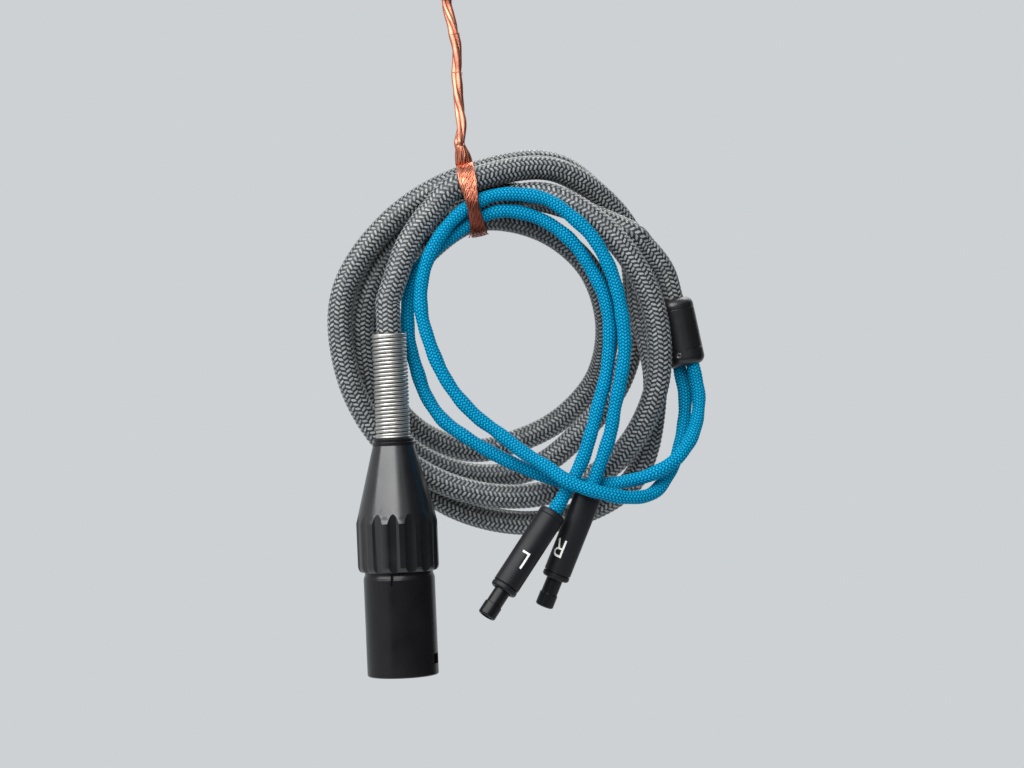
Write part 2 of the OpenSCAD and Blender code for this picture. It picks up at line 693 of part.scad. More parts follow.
// The section of a splitter cap with its rounded outer edge, standing on the barrel
module cap_section(h) {
    steps = 10;
    polygon(concat(
        [[0, 0], [splitter_d / 2, 0]],
        [for (i = [0:steps])
            let (a = 90 * i / steps)
            [splitter_d / 2 - splitter_round + splitter_round * cos(a),
             h - splitter_round + splitter_round * sin(a)]],
        [[0, h]]
    ));
}

module splitter_top_cap() {
    color("#212326") on_splitter() difference() {
        union() {
            translate([0, 0, barrel_top_z]) rotate_extrude() cap_section(top_cap_len);
            translate([0, 0, barrel_top_z - cap_spigot])
                cylinder(d = cap_d, h = cap_spigot + past);
        }
        translate([0, 0, barrel_top_z - cap_spigot - past])
            cylinder(d = cable_d + 2 * entry_gap, h = splitter_len);
    }
}

module splitter_barrel() {
    color("#26282c") on_splitter()
        ring(splitter_d, splitter_bore_d, barrel_end_z + seat_gap,
            barrel_top_z - barrel_end_z - 2 * seat_gap);
}

module at_screw() {
    rotate([0, 0, -90 + screw_turn]) translate([splitter_d / 2 - screw_len, 0, -screw_z])
        rotate([0, 90, 0]) children();
}

module splitter_bottom_cap() {
    color("#1d1f22") on_splitter() difference() {
        union() {
            translate([0, 0, barrel_end_z]) mirror([0, 0, 1]) rotate_extrude()
                cap_section(bottom_cap_len);
            translate([0, 0, barrel_end_z - past]) cylinder(d = cap_d, h = cap_spigot + past);
        }
        for (side = [-1, 1])
            rotate([0, 0, lead_turn]) translate([side * lead_pitch / 2, 0, -splitter_len - past])
                cylinder(d = lead_d + 2 * entry_gap, h = splitter_len);
        at_screw() cylinder(d = screw_d + 2 * seat_gap, h = splitter_d);
    }
}

// The moulded block round the soldered joint between the cable and the two leads
module splitter_core() {
    core_top_z = -cable_in_splitter - seat_gap;
    core_end_z = lead_in_splitter - splitter_len + seat_gap;
    color("#3a3c3f") on_splitter() translate([0, 0, core_end_z])
        cylinder(d = cap_d, h = core_top_z - core_end_z);
}

module splitter_screw() {
    socket_d = screw_d / 2;
    color("#9a9b9d") on_splitter() at_screw() difference() {
        cylinder(d = screw_d, h = screw_len);
        translate([0, 0, screw_len / 2]) cylinder(d = socket_d, h = screw_len, $fn = 6);
    }
}

// --- The leads and their plugs --------------------------------------------------------------
module lead_left() {
    color("#0085b0") tube(lead_route(1, lead_left_route, left_at, left_lean, left_swing),
        lead_d, cord_sides);
}

module lead_right() {
    color("#0085b0") tube(lead_route(-1, lead_right_route, right_at, right_lean, right_swing),
        lead_d, cord_sides);
}

ring_z = barrel_len - front_ring_len;
nose_end_z = barrel_len + nose_len;
nose_flange_depth = 2;
nose_flange_z = ring_z - nose_flange_depth;
insulator_end_z = nose_end_z - nose_recess;
insulator_tail = 2;
insulator_z = nose_flange_z - insulator_tail;

// The rear end of a headphone plug, which the lead enters, with its spigot in the barrel
module plug_rear_cap() {
    spigot = 2.5;
    edge = 0.5;
    difference() {
        union() {
            cylinder(d1 = barrel_d - 2 * edge, d2 = barrel_d, h = edge);
            translate([0, 0, edge]) cylinder(d = barrel_d, h = rear_cap_len - edge);
            translate([0, 0, edge])
                cylinder(d = barrel_bore_d - 2 * seat_gap, h = rear_cap_len - edge + spigot);
        }
        translate([0, 0, -past]) cylinder(d = lead_d + 2 * entry_gap, h = barrel_len);
    }
}

module plug_barrel() {
    ring(barrel_d, barrel_bore_d, rear_cap_len + seat_gap, ring_z - groove_w - rear_cap_len - seat_gap);
}

// The ring at the barrel's front, with a groove behind it and the nose through it
module plug_front_ring() {
    edge = 0.4;
    difference() {
        union() {
            translate([0, 0, ring_z - groove_w + seat_gap])
                cylinder(d = barrel_d - 2 * edge, h = groove_w);
            translate([0, 0, ring_z]) cylinder(d = barrel_d, h = front_ring_len - edge);
            translate([0, 0, barrel_len - edge])
                cylinder(d1 = barrel_d, d2 = barrel_d - 2 * edge, h = edge);
        }
        translate([0, 0, ring_z - groove_w - past])
            cylinder(d = nose_d + 2 * seat_gap, h = front_ring_len + groove_w + 2 * past);
    }
}

// The plug's metal nose: a thin tube with a flange in the barrel, a thinner foot through the
// ring and a key groove inside the back of its tip
module plug_nose() {
    flange_len = ring_z - groove_w - nose_flange_z;
    foot_z = barrel_len + nose_relief_len;
    difference() {
        union() {
            translate([0, 0, nose_flange_z])
                cylinder(d = barrel_bore_d - 2 * seat_gap, h = flange_len);
            translate([0, 0, nose_flange_z])
                cylinder(d = nose_d - 2 * nose_relief, h = foot_z - nose_flange_z);
            translate([0, 0, foot_z]) cylinder(d = nose_d, h = nose_end_z - nose_edge - foot_z);
            translate([0, 0, nose_end_z - nose_edge])
                cylinder(d1 = nose_d, d2 = nose_d - 2 * nose_edge, h = nose_edge);
        }
        translate([0, 0, nose_flange_z - past])
            cylinder(d = nose_bore_d, h = nose_end_z - nose_flange_z + 2 * past);
        translate([-nose_notch_w / 2, 0, nose_end_z - nose_notch_len])
            cube([nose_notch_w, nose_bore_d / 2 + nose_notch_depth, nose_notch_len + past]);
    }
}

module plug_insulator() {
    difference() {
        translate([0, 0, insulator_z])
            cylinder(d = nose_bore_d - 2 * seat_gap, h = insulator_end_z - insulator_z);
        for (side = [-1, 1])
            translate([side * pin_pitch / 2, 0, insulator_z - past])
                cylinder(d = pin_d + 2 * seat_gap, h = nose_end_z);
    }
}

module plug_contacts() {
    pin_tail = 2;
    for (side = [-1, 1])
        translate([side * pin_pitch / 2, 0, insulator_z - pin_tail])
            cylinder(d = pin_d, h = insulator_end_z - insulator_z + pin_tail);
}

module on_left() on_headphone_plug(left_at, left_lean, left_swing) children();
module on_right() on_headphone_plug(right_at, right_lean, right_swing) children();

module left_rear_cap() { color("#2a2b2f") on_left() plug_rear_cap(); }
module left_barrel() { color("#2f3034") on_left() plug_barrel(); }
module left_front_ring() { color("#2a2b2f") on_left() plug_front_ring(); }
module left_nose() { color("#1c1d20") on_left() plug_nose(); }
module left_insulator() { color("#d8d6cf") on_left() plug_insulator(); }
module left_contacts() { color("#c9a95a") on_left() plug_contacts(); }
module right_rear_cap() { color("#2a2b2f") on_right() plug_rear_cap(); }
module right_barrel() { color("#2f3034") on_right() plug_barrel(); }
module right_front_ring() { color("#2a2b2f") on_right() plug_front_ring(); }
module right_nose() { color("#1c1d20") on_right() plug_nose(); }
module right_insulator() { color("#d8d6cf") on_right() plug_insulator(); }
module right_contacts() { color("#c9a95a") on_right() plug_contacts(); }

// --- The tie and the hanging rope -----------------------------------------------------------
// The outline round all tied strands, grown by an amount
module bundle(grow) {
    hull() for (s = tied) translate([s[0], s[1]]) circle(d = s[2] + 2 * grow, $fn = 32);
}

module tie_band() {
    color("#b5653f") at_tie() linear_extrude(band_w, center = true) difference() {
        bundle(band_gap + band_t);
        bundle(band_gap);
    }
}

module tie_hitch() {
    color("#d0794f") at_tie() translate([hitch_foot[0], hitch_foot[1], 0])
        rotate([0, 0, atan2(flank_out[1], flank_out[0])]) rotate([0, 90, 0])
            knob(hitch_d, hitch_h, hitch_round);
}

module hanger_rope() {
    color("#d98a66") tube(hanger_route, rope_d, cord_sides);
}

module loop_knot() {
    color("#d0794f") translate([knot_x, 0, knot_top_z - knot_h]) knob(knot_d, knot_h, knot_round);
}

// The loop: one rope round the eye, whose two legs run down and square into the knot
module hanging_loop() {
    color("#d98a66") tube(loop_route, loop_rope_d, loop_sides);
}

xlr_shell();
xlr_insert();
xlr_contacts();
xlr_ground_contact();
plug_wires();
xlr_chuck();
xlr_backshell();
rear_collar();
strain_spring();
cable_end();
main_cable();
splitter_top_cap();
splitter_barrel();
splitter_bottom_cap();
splitter_core();
splitter_screw();
lead_left();
lead_right();
left_rear_cap();
left_barrel();
left_front_ring();
left_nose();
left_insulator();
left_contacts();
right_rear_cap();
right_barrel();
right_front_ring();
right_nose();
right_insulator();
right_contacts();
tie_band();
tie_hitch();
hanger_rope();
loop_knot();
hanging_loop();
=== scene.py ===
"""A hand-wound headphone cable hank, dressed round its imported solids.

Every length in the tables below is in millimetres, and every Blender length is in metres."""

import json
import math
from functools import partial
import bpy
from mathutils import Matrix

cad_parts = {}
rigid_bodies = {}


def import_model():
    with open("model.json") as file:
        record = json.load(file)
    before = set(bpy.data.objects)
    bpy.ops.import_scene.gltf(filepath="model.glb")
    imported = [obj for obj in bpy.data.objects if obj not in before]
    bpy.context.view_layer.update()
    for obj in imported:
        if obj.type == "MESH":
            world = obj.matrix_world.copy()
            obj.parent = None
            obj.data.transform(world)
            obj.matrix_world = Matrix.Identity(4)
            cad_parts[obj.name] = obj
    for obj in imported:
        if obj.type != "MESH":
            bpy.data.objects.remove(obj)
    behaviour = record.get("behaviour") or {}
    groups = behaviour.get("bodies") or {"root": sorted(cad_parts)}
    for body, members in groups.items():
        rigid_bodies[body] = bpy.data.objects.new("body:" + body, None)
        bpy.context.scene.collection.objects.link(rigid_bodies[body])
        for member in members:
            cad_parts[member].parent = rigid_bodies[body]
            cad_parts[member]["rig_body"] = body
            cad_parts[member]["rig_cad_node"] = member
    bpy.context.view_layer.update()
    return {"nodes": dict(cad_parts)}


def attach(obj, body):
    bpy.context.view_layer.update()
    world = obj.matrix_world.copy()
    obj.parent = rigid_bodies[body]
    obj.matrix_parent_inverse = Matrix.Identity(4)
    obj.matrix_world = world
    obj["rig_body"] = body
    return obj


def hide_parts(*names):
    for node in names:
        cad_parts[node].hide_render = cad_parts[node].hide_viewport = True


bl_info = {
    "name": "Headphone Cable Hank",
    "version": (1, 0, 0),
    "blender": (4, 5, 0),
    "location": "View3D > Sidebar > Cable Hank",
    "description": "Braided hank with an XLR plug, a splitter, blue leads and a copper hanger",
    "category": "Object",
}

import bpy
import numpy as np
from mathutils import Matrix, Vector

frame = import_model()

MM = 0.001
NODES = frame["nodes"]

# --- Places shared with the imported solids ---
PLUG_AT = (-10.87, -9, -196)
PLUG_LEAN = -2.4
SPRING_FOOT_Z = 63.0
SPRING_TOP_Z = 91.0
SPRING_D = 9.3
SPRING_CURLS = 27
CABLE_CUT_Z = 40.0
CABLE_D = 6.8
LEAD_D = 4.0
LOOP_ROPE_D = 2.2

SPLITTER_AT = (61.3, 2.5, -95.6)
SPLITTER_LEAN = -12.4
SPLITTER_LEN = 18.4
LEAD_TURN = -39
LEAD_PITCH = 4.5

# Each headphone plug's rear end, with its lean to the left and its swing to the front
HEADPHONE_PLUGS = {
    "left": ((29.1, -13, -152.5), 33.5, 12),
    "right": ((38.8, -10, -147.1), 21.7, -2.3),
}
BARREL_D = 7.3

# The main cable's loops: reach from the middle and depth behind the front plane, at twelve
# stations a turn, clockwise from the tie
MID_X = 15.5
MID_Z = -107.5
TIE_TURN = 347
STATION_TURN = 30
TURN_REACH = [
    [44.0, 49.0, 46.5, 39.0, 43.5, 51.5, 50.0, 46.5, 42.5, 38.0, 39.0, 39.5],
    [37.0, 41.5, 41.0, 41.5, 43.0, 44.0, 42.0, 41.0, 41.5, 42.5, 45.0, 44.5],
    [46.0, 51.0, 45.5, 37.5, 34.0, 32.5, 35.5, 37.5, 39.0, 36.0, 34.0, 32.5],
    [34.5, 33.0, 31.5, 29.5, 28.0, 26.5, 27.0, 31.0, 34.0, 36.5, 39.0, 41.0],
]
TURN_DEPTH = [
    [-7.5, 1.0, 10.0, 9.0, 6.5, 7.0, 9.0, 10.0, 10.0, 7.0, 4.5, 4.5],
    [-0.5, -4.0, -6.5, -6.5, -5.0, -0.5, 1.5, 2.0, 2.0, 0.0, -1.0, -1.0],
    [0.0, 9.0, 17.5, 16.5, 15.0, 18.0, 20.0, 20.0, 18.5, 15.0, 11.0, 9.5],
    [7.0, 7.0, 9.0, 15.5, 25.5, 29.0, 30.0, 29.5, 27.5, 23.5, 18.0, 12.0],
]
LEAD_IN = [[-1, 36.5, -8.5], [-0.5, 40, -8]]
LEAD_OUT = [[0, 42, 8], [1, 40.5, 4], [2, 45, 0.5]]
PLUG_BEND = (-12.5, -9, -89)
SPLITTER_BEND = [(54, 1.5, -81.5), (59, 2.5, -88)]
SPRING_RUN = 8.5
CABLE_IN_SPLITTER = 6
# The sleeves of the wound cable and of its straight end meet this far up inside the spring
SLEEVE_START = 3.0
SLEEVE_GAP = 0.1

LEAD_LEFT_ROUTE = [
    (68.5, -0.5, -122.5), (67.5, -4.5, -129), (65, -9, -134.5), (61, -12, -139),
    (55, -12.5, -142.5), (48, -10, -144.5), (41, -6, -145.5), (33.5, -5, -145),
    (26.5, -6.5, -143), (19, -7, -140), (12, -7, -136.5), (5.5, -7, -132.5),
    (-0.5, -6, -128), (-5, -4.5, -121.5), (-7.5, -4, -114.5), (-9.5, -3.5, -107),
    (-10, -3.5, -99), (-9, -3.5, -91.5), (-5, -4, -85), (0.5, -5, -80), (7, -6.5, -75.5),
    (14, -8, -72.5), (21.5, -8, -73), (28.5, -8, -76), (34.5, -8.5, -81), (39, -8.5, -87.5),
    (42.5, -9, -94.5), (44, -9, -102), (44, -9, -109.5), (43, -9.5, -117), (41, -10, -124.5),
    (39, -10.5, -132), (36.5, -10.5, -139.5),
]
LEAD_RIGHT_ROUTE = [
    (65, 2.5, -122), (64.5, 0, -129), (63, -3.5, -136), (60, -7, -142.5),
    (55.5, -11, -147.5), (49, -15, -148.5), (41, -17.5, -147), (33.5, -17, -144.5),
    (27.5, -14.5, -140.5), (21, -12, -136.5), (14.5, -10.5, -131.5), (8.5, -10, -127),
    (3, -10, -121), (-1, -10, -114.5), (-4, -10, -107), (-6, -10, -99.5), (-6, -9.5, -92),
    (-4, -9.5, -84.5), (0, -9, -77.5), (5.5, -9, -72), (12.5, -9.5, -68.5), (20, -10, -68),
    (27.5, -10.5, -69.5), (34, -11, -74), (39.5, -11.5, -79.5), (43.5, -11.5, -86.5),
    (46, -11.5, -93.5), (47.5, -11.5, -101.5), (48, -11.5, -109.5), (47, -11.5, -117),
    (45.5, -11, -124.5), (44, -10.5, -132.5),
]
LEAD_IN_SPLITTER = 7.4
LEAD_IN_PLUG = 5
LEAD_RUN = 4

KNOT_X = 0.4
KNOT_TOP_Z = -10.9
KNOT_H = 3.9
KNOT_D = 6.6
ROPE_RUN = 1.5
SEAT_GAP = 0.05
ROPE_ROUTE = [
    (1.2, -0.5, -19), (2.3, -1, -23), (3.1, -1.2, -27), (3.4, -1.6, -31), (3.3, -2, -35),
    (3.3, -2.5, -39), (3.7, -3, -43), (4.4, -4, -47.5), (4.4, -5.5, -51.5),
]
LOOP_R = 4.0
LOOP_LEG_TURN = 30
LOOP_LEG_X = 1.6

TIED_RIGHT = (37.4, -9.2)
TIED_LEFT = (33.4, -6.8)
TIE_LIFT = 1
BAND_GAP = 0.6
BAND_T = 0.8
# The band's width at some reaches from the middle
BAND_REACH = (30, 33, 36.5, 40, 43.5, 50)
BAND_WIDTHS = (4.5, 3.9, 3.3, 3.9, 4.9, 4.6)
HITCH_SHARE = 0.45
HITCH_H = 4.0

# --- Details of the scene's own pieces ---
# A float's slant across its column, and how far it lies past its neighbours', in pitches
FLOAT_SLANT = 0.46
FLOAT_STEP = 0.36
# Half a float's thickness, in pitches, and how much it falls away across its column
FLOAT_HALF = 0.28
FLOAT_CROWN = 3
# Points across a float, and rings of points along a pitch
FLOAT_POINTS = 3
PITCH_RINGS = 2
# A lead is pulled thin by up to this share here and there
LEAD_SQUEEZE = 0.12

# How deep the grooves between fine wires are, as a share of a strand's radius
WIRE_RIDGE = 0.05
# Three strands lie about a third of a turn apart, in radians
THIRD_TURN = 2.1
ROPE_STRANDS = (1.9, 1.7, 1.45)
# Where a loose wire is wound round the rope, and its distance from the rope's middle
LOOSE_WIRES = (9.6, 20.2)
LOOSE_WIRE_R = 1.42
LOOP_STRANDS = (1.3, 1.3)
KNOT_TURNS = 3.2
KNOT_WRAP_D = 1.35
KNOT_TILT = 0.25

BAND_WIRES = 34
BAND_WIRE_D = 0.42
# How often a wire winds through the band in one turn of it, and how far it strays, in radians
BAND_WINDS = 4
BAND_STRAY = 0.45
# The strip under the band's wires: sides, half its thickness, and how far its edges are inside
STRIP_SIDES = 16
STRIP_HALF_T = 0.12
STRIP_INSET = 0.2
FRAY_WIRES = 18
FRAY_WIRE_D = 0.3
FRAY_W = 4.2
# The hitch's wires in each of its rings, with the ring's share of the radius
HITCH_RINGS = ((26, 1.0), (16, 0.62), (7, 0.25))
HITCH_WIRE_D = 0.64
# The hitch's neck, how much it is pinched at the rope, how much it swells halfway, and how far it
# flares across and along the band
HITCH_NECK_R = 1.12
HITCH_PINCH = 0.3
HITCH_SWELL = 0.1
HITCH_FLARE = (0.9, 0.7)
# How far the hitch's wires reach into the band and into the rope
HITCH_IN_BAND = 0.3
HITCH_IN_ROPE = 0.9

MARK_STROKE = 0.55
MARK_LIFT = 0.03
MARK_DEPTH = 0.04

# In degrees: a sharper edge than the first is rounded, a blunter one than the second is shaded
# smooth
EDGE_ANGLE = 28
SMOOTH_ANGLE = 40

# The camera stands level, in front of the hank's middle
CAMERA_AT = (18.1, -700, -118.5)
CAMERA_LENS = 91.15

# Each soft box: name, place, width, height, watts and whether it shows in reflections
LAMPS = (
    ("Key", (-340, -510, 350), 1200, 560, 12.0, True),
    ("Fill", (560, -420, 60), 400, 500, 0.8, False),
    ("Rim", (120, 380, 360), 500, 400, 2.5, True),
)
LAMP_AIM = (MID_X, 0, MID_Z - 15)
# Each dark card: name, place, turn in degrees, and width and height
CARDS = (
    ("Side card", (800, -100, -220), (0, -90, 0), (1500, 1700)),
    ("Front card", (120, -950, -460), (-90, 0, 0), (1450, 1000)),
)
FLOOR_AT = (18, 0, -300)
FLOOR_R = 520
# The floor fades out between these distances from its middle
FLOOR_FADE = (200, 500)
# How strongly the surroundings light the hank, and how much more they show
AIR_LIT = 0.45
AIR_SHOWN = 0.55


# --- Routes ---
def unit(rows):
    """A vector, or each row of an array, at length one."""
    return rows / np.linalg.norm(rows, axis=-1, keepdims=True)


def square_to(rows, axis):
    """What is left of a vector, or of each row of an array, square to an axis."""
    return rows - (rows @ axis)[..., None] * axis


def lengths(points):
    """Each point's length along the line through all of them."""
    return np.r_[0, np.cumsum(np.linalg.norm(np.diff(points, axis=0), axis=1))]


def lean_axis(lean):
    """The way up along a piece that leans to the right."""
    turn = math.radians(lean)
    return np.array([math.sin(turn), 0.0, math.cos(turn)])


def down_axis(lean, swing):
    """The way down along a headphone plug."""
    lean, swing = math.radians(lean), math.radians(swing)
    return np.array([-math.cos(swing) * math.sin(lean), -math.sin(swing),
                     -math.cos(swing) * math.cos(lean)])


def plug_point(z):
    """A point on the XLR plug's axis, that far up from its rim."""
    return np.array(PLUG_AT) + z * lean_axis(PLUG_LEAN)


def splitter_point(z):
    """A point on the splitter's axis, that far down from its top."""
    return np.array(SPLITTER_AT) - z * lean_axis(SPLITTER_LEAN)


def hank_point(station, reach, depth):
    """A point of the loops, from its station round the hank, its reach and its depth."""
    turn = math.radians(TIE_TURN + STATION_TURN * station)
    return np.array([MID_X + reach * math.sin(turn), depth, MID_Z + reach * math.cos(turn)])


def smooth(points, steps):
    """The smooth curve through all the points, in that many steps between two neighbours."""
    p = np.array(points, float)
    p = np.vstack([2 * p[0] - p[1], p, 2 * p[-1] - p[-2]])
    t = (np.arange(steps) / steps)[:, None]
    curve = []
    for a, b, c, d in zip(p, p[1:], p[2:], p[3:]):
        curve.append(0.5 * (2 * b + (c - a) * t + (2 * a - 5 * b + 4 * c - d) * t ** 2
                            + (3 * b - a - 3 * c + d) * t ** 3))
    return np.vstack(curve + [p[-2][None]])


def hank_route():
    """Out of the spring, round the four loops and into the splitter."""
    stations = [hank_point(*s) for s in LEAD_IN]
    for reaches, depths in zip(TURN_REACH, TURN_DEPTH):
        stations += [hank_point(i, r, y) for i, (r, y) in enumerate(zip(reaches, depths))]
    stations += [hank_point(*s) for s in LEAD_OUT]
    loops = smooth([plug_point(SPRING_TOP_Z + SPRING_RUN), PLUG_BEND] + stations
                   + SPLITTER_BEND + [splitter_point(0)], 16)
    return np.vstack([plug_point(SPRING_FOOT_Z + SLEEVE_START), plug_point(SPRING_TOP_Z), loops,
                      splitter_point(CABLE_IN_SPLITTER)])


def lead_spot(side):
    """Where a lead leaves the splitter's bottom."""
    turn, lean = math.radians(LEAD_TURN), math.radians(SPLITTER_LEAN)
    across = np.array([math.cos(turn) * math.cos(lean), math.sin(turn),
                       -math.cos(turn) * math.sin(lean)])
    return splitter_point(SPLITTER_LEN) + side * LEAD_PITCH / 2 * across


def lead_route(side, middle, at, lean, swing):
    """From inside the splitter, along the middle points and into the headphone plug."""
    spot, up = lead_spot(side), lean_axis(SPLITTER_LEAN)
    at, down = np.array(at), down_axis(lean, swing)
    curve = smooth([spot - LEAD_RUN * up] + middle + [at - LEAD_RUN * down], 10)
    return np.vstack([spot + LEAD_IN_SPLITTER * up, spot, curve, at,
                      at + LEAD_IN_PLUG * down])


def tie_frame():
    """The tie's plane: its middle, the reach direction, the depth direction and its normal."""
    turn = math.radians(TIE_TURN + TIE_LIFT)
    reach = np.array([math.sin(turn), 0.0, math.cos(turn)])
    depth = np.array([0.0, 1.0, 0.0])
    return np.array([MID_X, 0.0, MID_Z]), reach, depth, np.cross(reach, depth)


def tied_strands():
    """The strands that the tie holds, as reach, depth and radius."""
    strands = [(r[0], y[0], CABLE_D / 2) for r, y in zip(TURN_REACH, TURN_DEPTH)]
    strands.append((LEAD_OUT[0][1], LEAD_OUT[0][2], CABLE_D / 2))
    return strands + [(*TIED_RIGHT, LEAD_D / 2), (*TIED_LEFT, LEAD_D / 2)]


def hitch_ends():
    """The hitch's foot on the band and its top, as points, with its direction outwards."""
    middle, reach, depth, _ = tie_frame()
    first = np.array([TURN_REACH[0][0], TURN_DEPTH[0][0]])
    third = np.array([TURN_REACH[2][0], TURN_DEPTH[2][0]])
    flank = unit(third - first)
    out = np.array([flank[1], -flank[0]])
    stand = CABLE_D / 2 + BAND_GAP + BAND_T + SEAT_GAP
    foot = first * (1 - HITCH_SHARE) + third * HITCH_SHARE + stand * out

    def point(spot):
        return middle + spot[0] * reach + spot[1] * depth
    return point(foot), point(foot + HITCH_H * out), out[0] * reach + out[1] * depth


def rope_route():
    """Down from the knot and square onto the hitch."""
    _, top, out = hitch_ends()
    start = np.array([KNOT_X, 0, KNOT_TOP_Z - KNOT_H - SEAT_GAP])
    return smooth([start, start - [0, 0, ROPE_RUN]] + [np.array(p) for p in ROPE_ROUTE]
                  + [top + ROPE_RUN * out, top + SEAT_GAP * out], 8)


def loop_route():
    """Up one leg, round the eye and down the other leg."""
    ring = LOOP_R + LOOP_ROPE_D / 2
    turns = np.radians(np.linspace(180 + LOOP_LEG_TURN, -LOOP_LEG_TURN, 9))
    eye = np.column_stack([ring * np.cos(turns), 0 * turns, ring * np.sin(turns) - LOOP_R])
    leg = np.array([[LOOP_LEG_X, 0, KNOT_TOP_Z + LOOP_ROPE_D / 2],
                    [LOOP_LEG_X, 0, KNOT_TOP_Z + SEAT_GAP]])
    return smooth(np.vstack([leg[::-1] * [-1, 1, 1], eye, leg]), 10)


# --- Strands swept along a route ---
class Track:
    """A route with a side direction carried along it, read at any length from its start."""

    def __init__(self, points, step=0.1):
        p = np.array(points, float)
        p = p[np.r_[True, np.linalg.norm(np.diff(p, axis=0), axis=1) > 1e-6]]
        s = lengths(p)
        self.length = s[-1]
        self.s = np.linspace(0, self.length, max(int(self.length / step), 8))
        self.p = np.column_stack([np.interp(self.s, s, p[:, i]) for i in range(3)])
        # The direction is evened out over a millimetre each way
        width = max(int(1.0 / step), 1)
        kernel = np.ones(2 * width + 1) / (2 * width + 1)
        t = np.pad(unit(np.gradient(self.p, axis=0)), ((width, width), (0, 0)), mode="edge")
        t = unit(np.column_stack([np.convolve(t[:, i], kernel, "valid") for i in range(3)]))
        side = np.empty_like(t)
        last = np.array([0.0, 1.0, 0.1])
        for i, along in enumerate(t):
            last = unit(square_to(last, along))
            side[i] = last
        self.side, self.up = side, np.cross(t, side)

    def at(self, s, angle, radius):
        """Points at a length, an angle round the track and a distance from it."""
        def read(table):
            return np.stack([np.interp(s, self.s, table[:, i]) for i in range(3)], axis=-1)
        side, up = read(self.side), read(self.up)
        c, d = np.cos(angle)[..., None], np.sin(angle)[..., None]
        return read(self.p) + np.asarray(radius)[..., None] * (c * side + d * up)


def tube_faces(rings, sides, first=0):
    """Quads between neighbouring rings, and a fan over each end."""
    i, k = np.meshgrid(np.arange(rings - 1), np.arange(sides), indexing="ij")
    a = first + i * sides + k
    b = first + i * sides + (k + 1) % sides
    quads = np.stack([a, b, b + sides, a + sides], axis=-1).reshape(-1, 4)
    faces = quads.tolist()
    last = first + (rings - 1) * sides
    faces.append([first + k for k in range(sides)][::-1])
    faces.append([last + k for k in range(sides)])
    return faces


def new_mesh(name, points, faces, uvs=None):
    """A smooth mesh object from points in millimetres, with its UV map where one is given."""
    mesh = bpy.data.meshes.new(name)
    mesh.from_pydata((np.asarray(points) * MM).tolist(), [], faces)
    if uvs is not None:
        layer = mesh.uv_layers.new(name="UVMap")
        layer.data.foreach_set("uv", np.asarray(uvs, np.float32).ravel())
    mesh.shade_smooth()
    thing = bpy.data.objects.new(name, mesh)
    bpy.context.scene.collection.objects.link(thing)
    return thing


def braided_tube(name, route, d, columns, pitch, relief, squeeze=0.0):
    """A braided sleeve. Each column has one float for every pitch, and neighbouring columns slant
    against each other, as the yarns pass over and under. The UV map counts columns across and
    pitches along. Squeeze is how much the sleeve is pulled thin in places."""
    track = Track(route)
    sides = FLOAT_POINTS * columns
    rings = PITCH_RINGS * int(track.length / pitch)
    j, k = np.meshgrid(np.arange(rings + 1), np.arange(sides), indexing="ij")
    middle, odd = (k % FLOAT_POINTS) / FLOAT_POINTS - 0.5, k // FLOAT_POINTS % 2
    row = j / PITCH_RINGS + FLOAT_SLANT * middle * (2 * odd - 1) + FLOAT_STEP * odd
    crest = (0.5 + 0.5 * np.cos(2 * np.pi * row)) * (1 - FLOAT_CROWN * middle ** 2)
    s = j * track.length / rings
    thin = squeeze * (0.5 - 0.5 * np.sin(s / 4.1) * np.sin(s / 1.54 + 1))
    radius = d / 2 * (1 - thin) - relief * (1 - crest)
    points = track.at(s, 2 * np.pi * k / sides, radius).reshape(-1, 3)
    jq, kq = np.meshgrid(np.arange(rings), np.arange(sides), indexing="ij")
    corners = [np.stack([(kq + dk) / FLOAT_POINTS, (jq + dj) / PITCH_RINGS], axis=-1)
               for dj, dk in ((0, 0), (0, 1), (1, 1), (1, 0))]
    uvs = np.stack(corners, axis=2).reshape(-1, 2)
    caps = np.zeros((2 * sides, 2))
    return new_mesh(name, points, tube_faces(rings + 1, sides), np.vstack([uvs, caps]))


def litz_tube(track, d, sides, ridges, turn_pitch, step, orbit=0.0, orbit_pitch=1.0, phase=0.0,
              wander=0.0, taper=0.0):
    """One bunch of fine wires along a track, as its points, rings and sides: a round section with
    ridges that turn along it. It can orbit the track, as one strand of a twisted rope does,
    wander in thickness, and taper at its ends."""
    rings = max(int(track.length / step), 2) + 1
    s, k = np.meshgrid(np.linspace(0, track.length, rings), np.arange(sides), indexing="ij")
    swell = 1 + wander * np.sin(s * 0.7 + phase * 3) * np.sin(s * 0.23 + phase)
    if taper:
        from_end = np.minimum(s, track.length - s) / taper
        swell = swell * np.sqrt(np.clip(from_end, 0.04, 1))
    turn = 2 * np.pi * s / orbit_pitch + phase
    spin = 2 * np.pi * (k / sides + s / turn_pitch)
    wave = 1 - WIRE_RIDGE + WIRE_RIDGE * np.abs(np.sin(ridges * np.pi * k / sides))
    r = d / 2 * wave * swell
    x = orbit * swell * np.cos(turn) + r * np.cos(spin)
    y = orbit * swell * np.sin(turn) + r * np.sin(spin)
    points = track.at(s, np.arctan2(y, x), np.hypot(x, y)).reshape(-1, 3)
    return points, rings, sides


def twisted_strands(track, diameters, apart, **lay):
    """Strands that are twisted round each other along a track, that angle apart."""
    return [litz_tube(track, d, phase=apart * i, **lay) for i, d in enumerate(diameters)]


def wire_along(path, d):
    """A single wire of the tie along its points."""
    return litz_tube(Track(path, step=0.2), d, sides=7, ridges=1, turn_pitch=20.0, step=0.45)


def joined_tubes(name, tubes):
    """One mesh object from several tubes, each as its points, rings and sides."""
    points, faces, first = [], [], 0
    for p, rings, sides in tubes:
        faces += tube_faces(rings, sides, first)
        points.append(p)
        first += len(p)
    return new_mesh(name, np.vstack(points), faces)


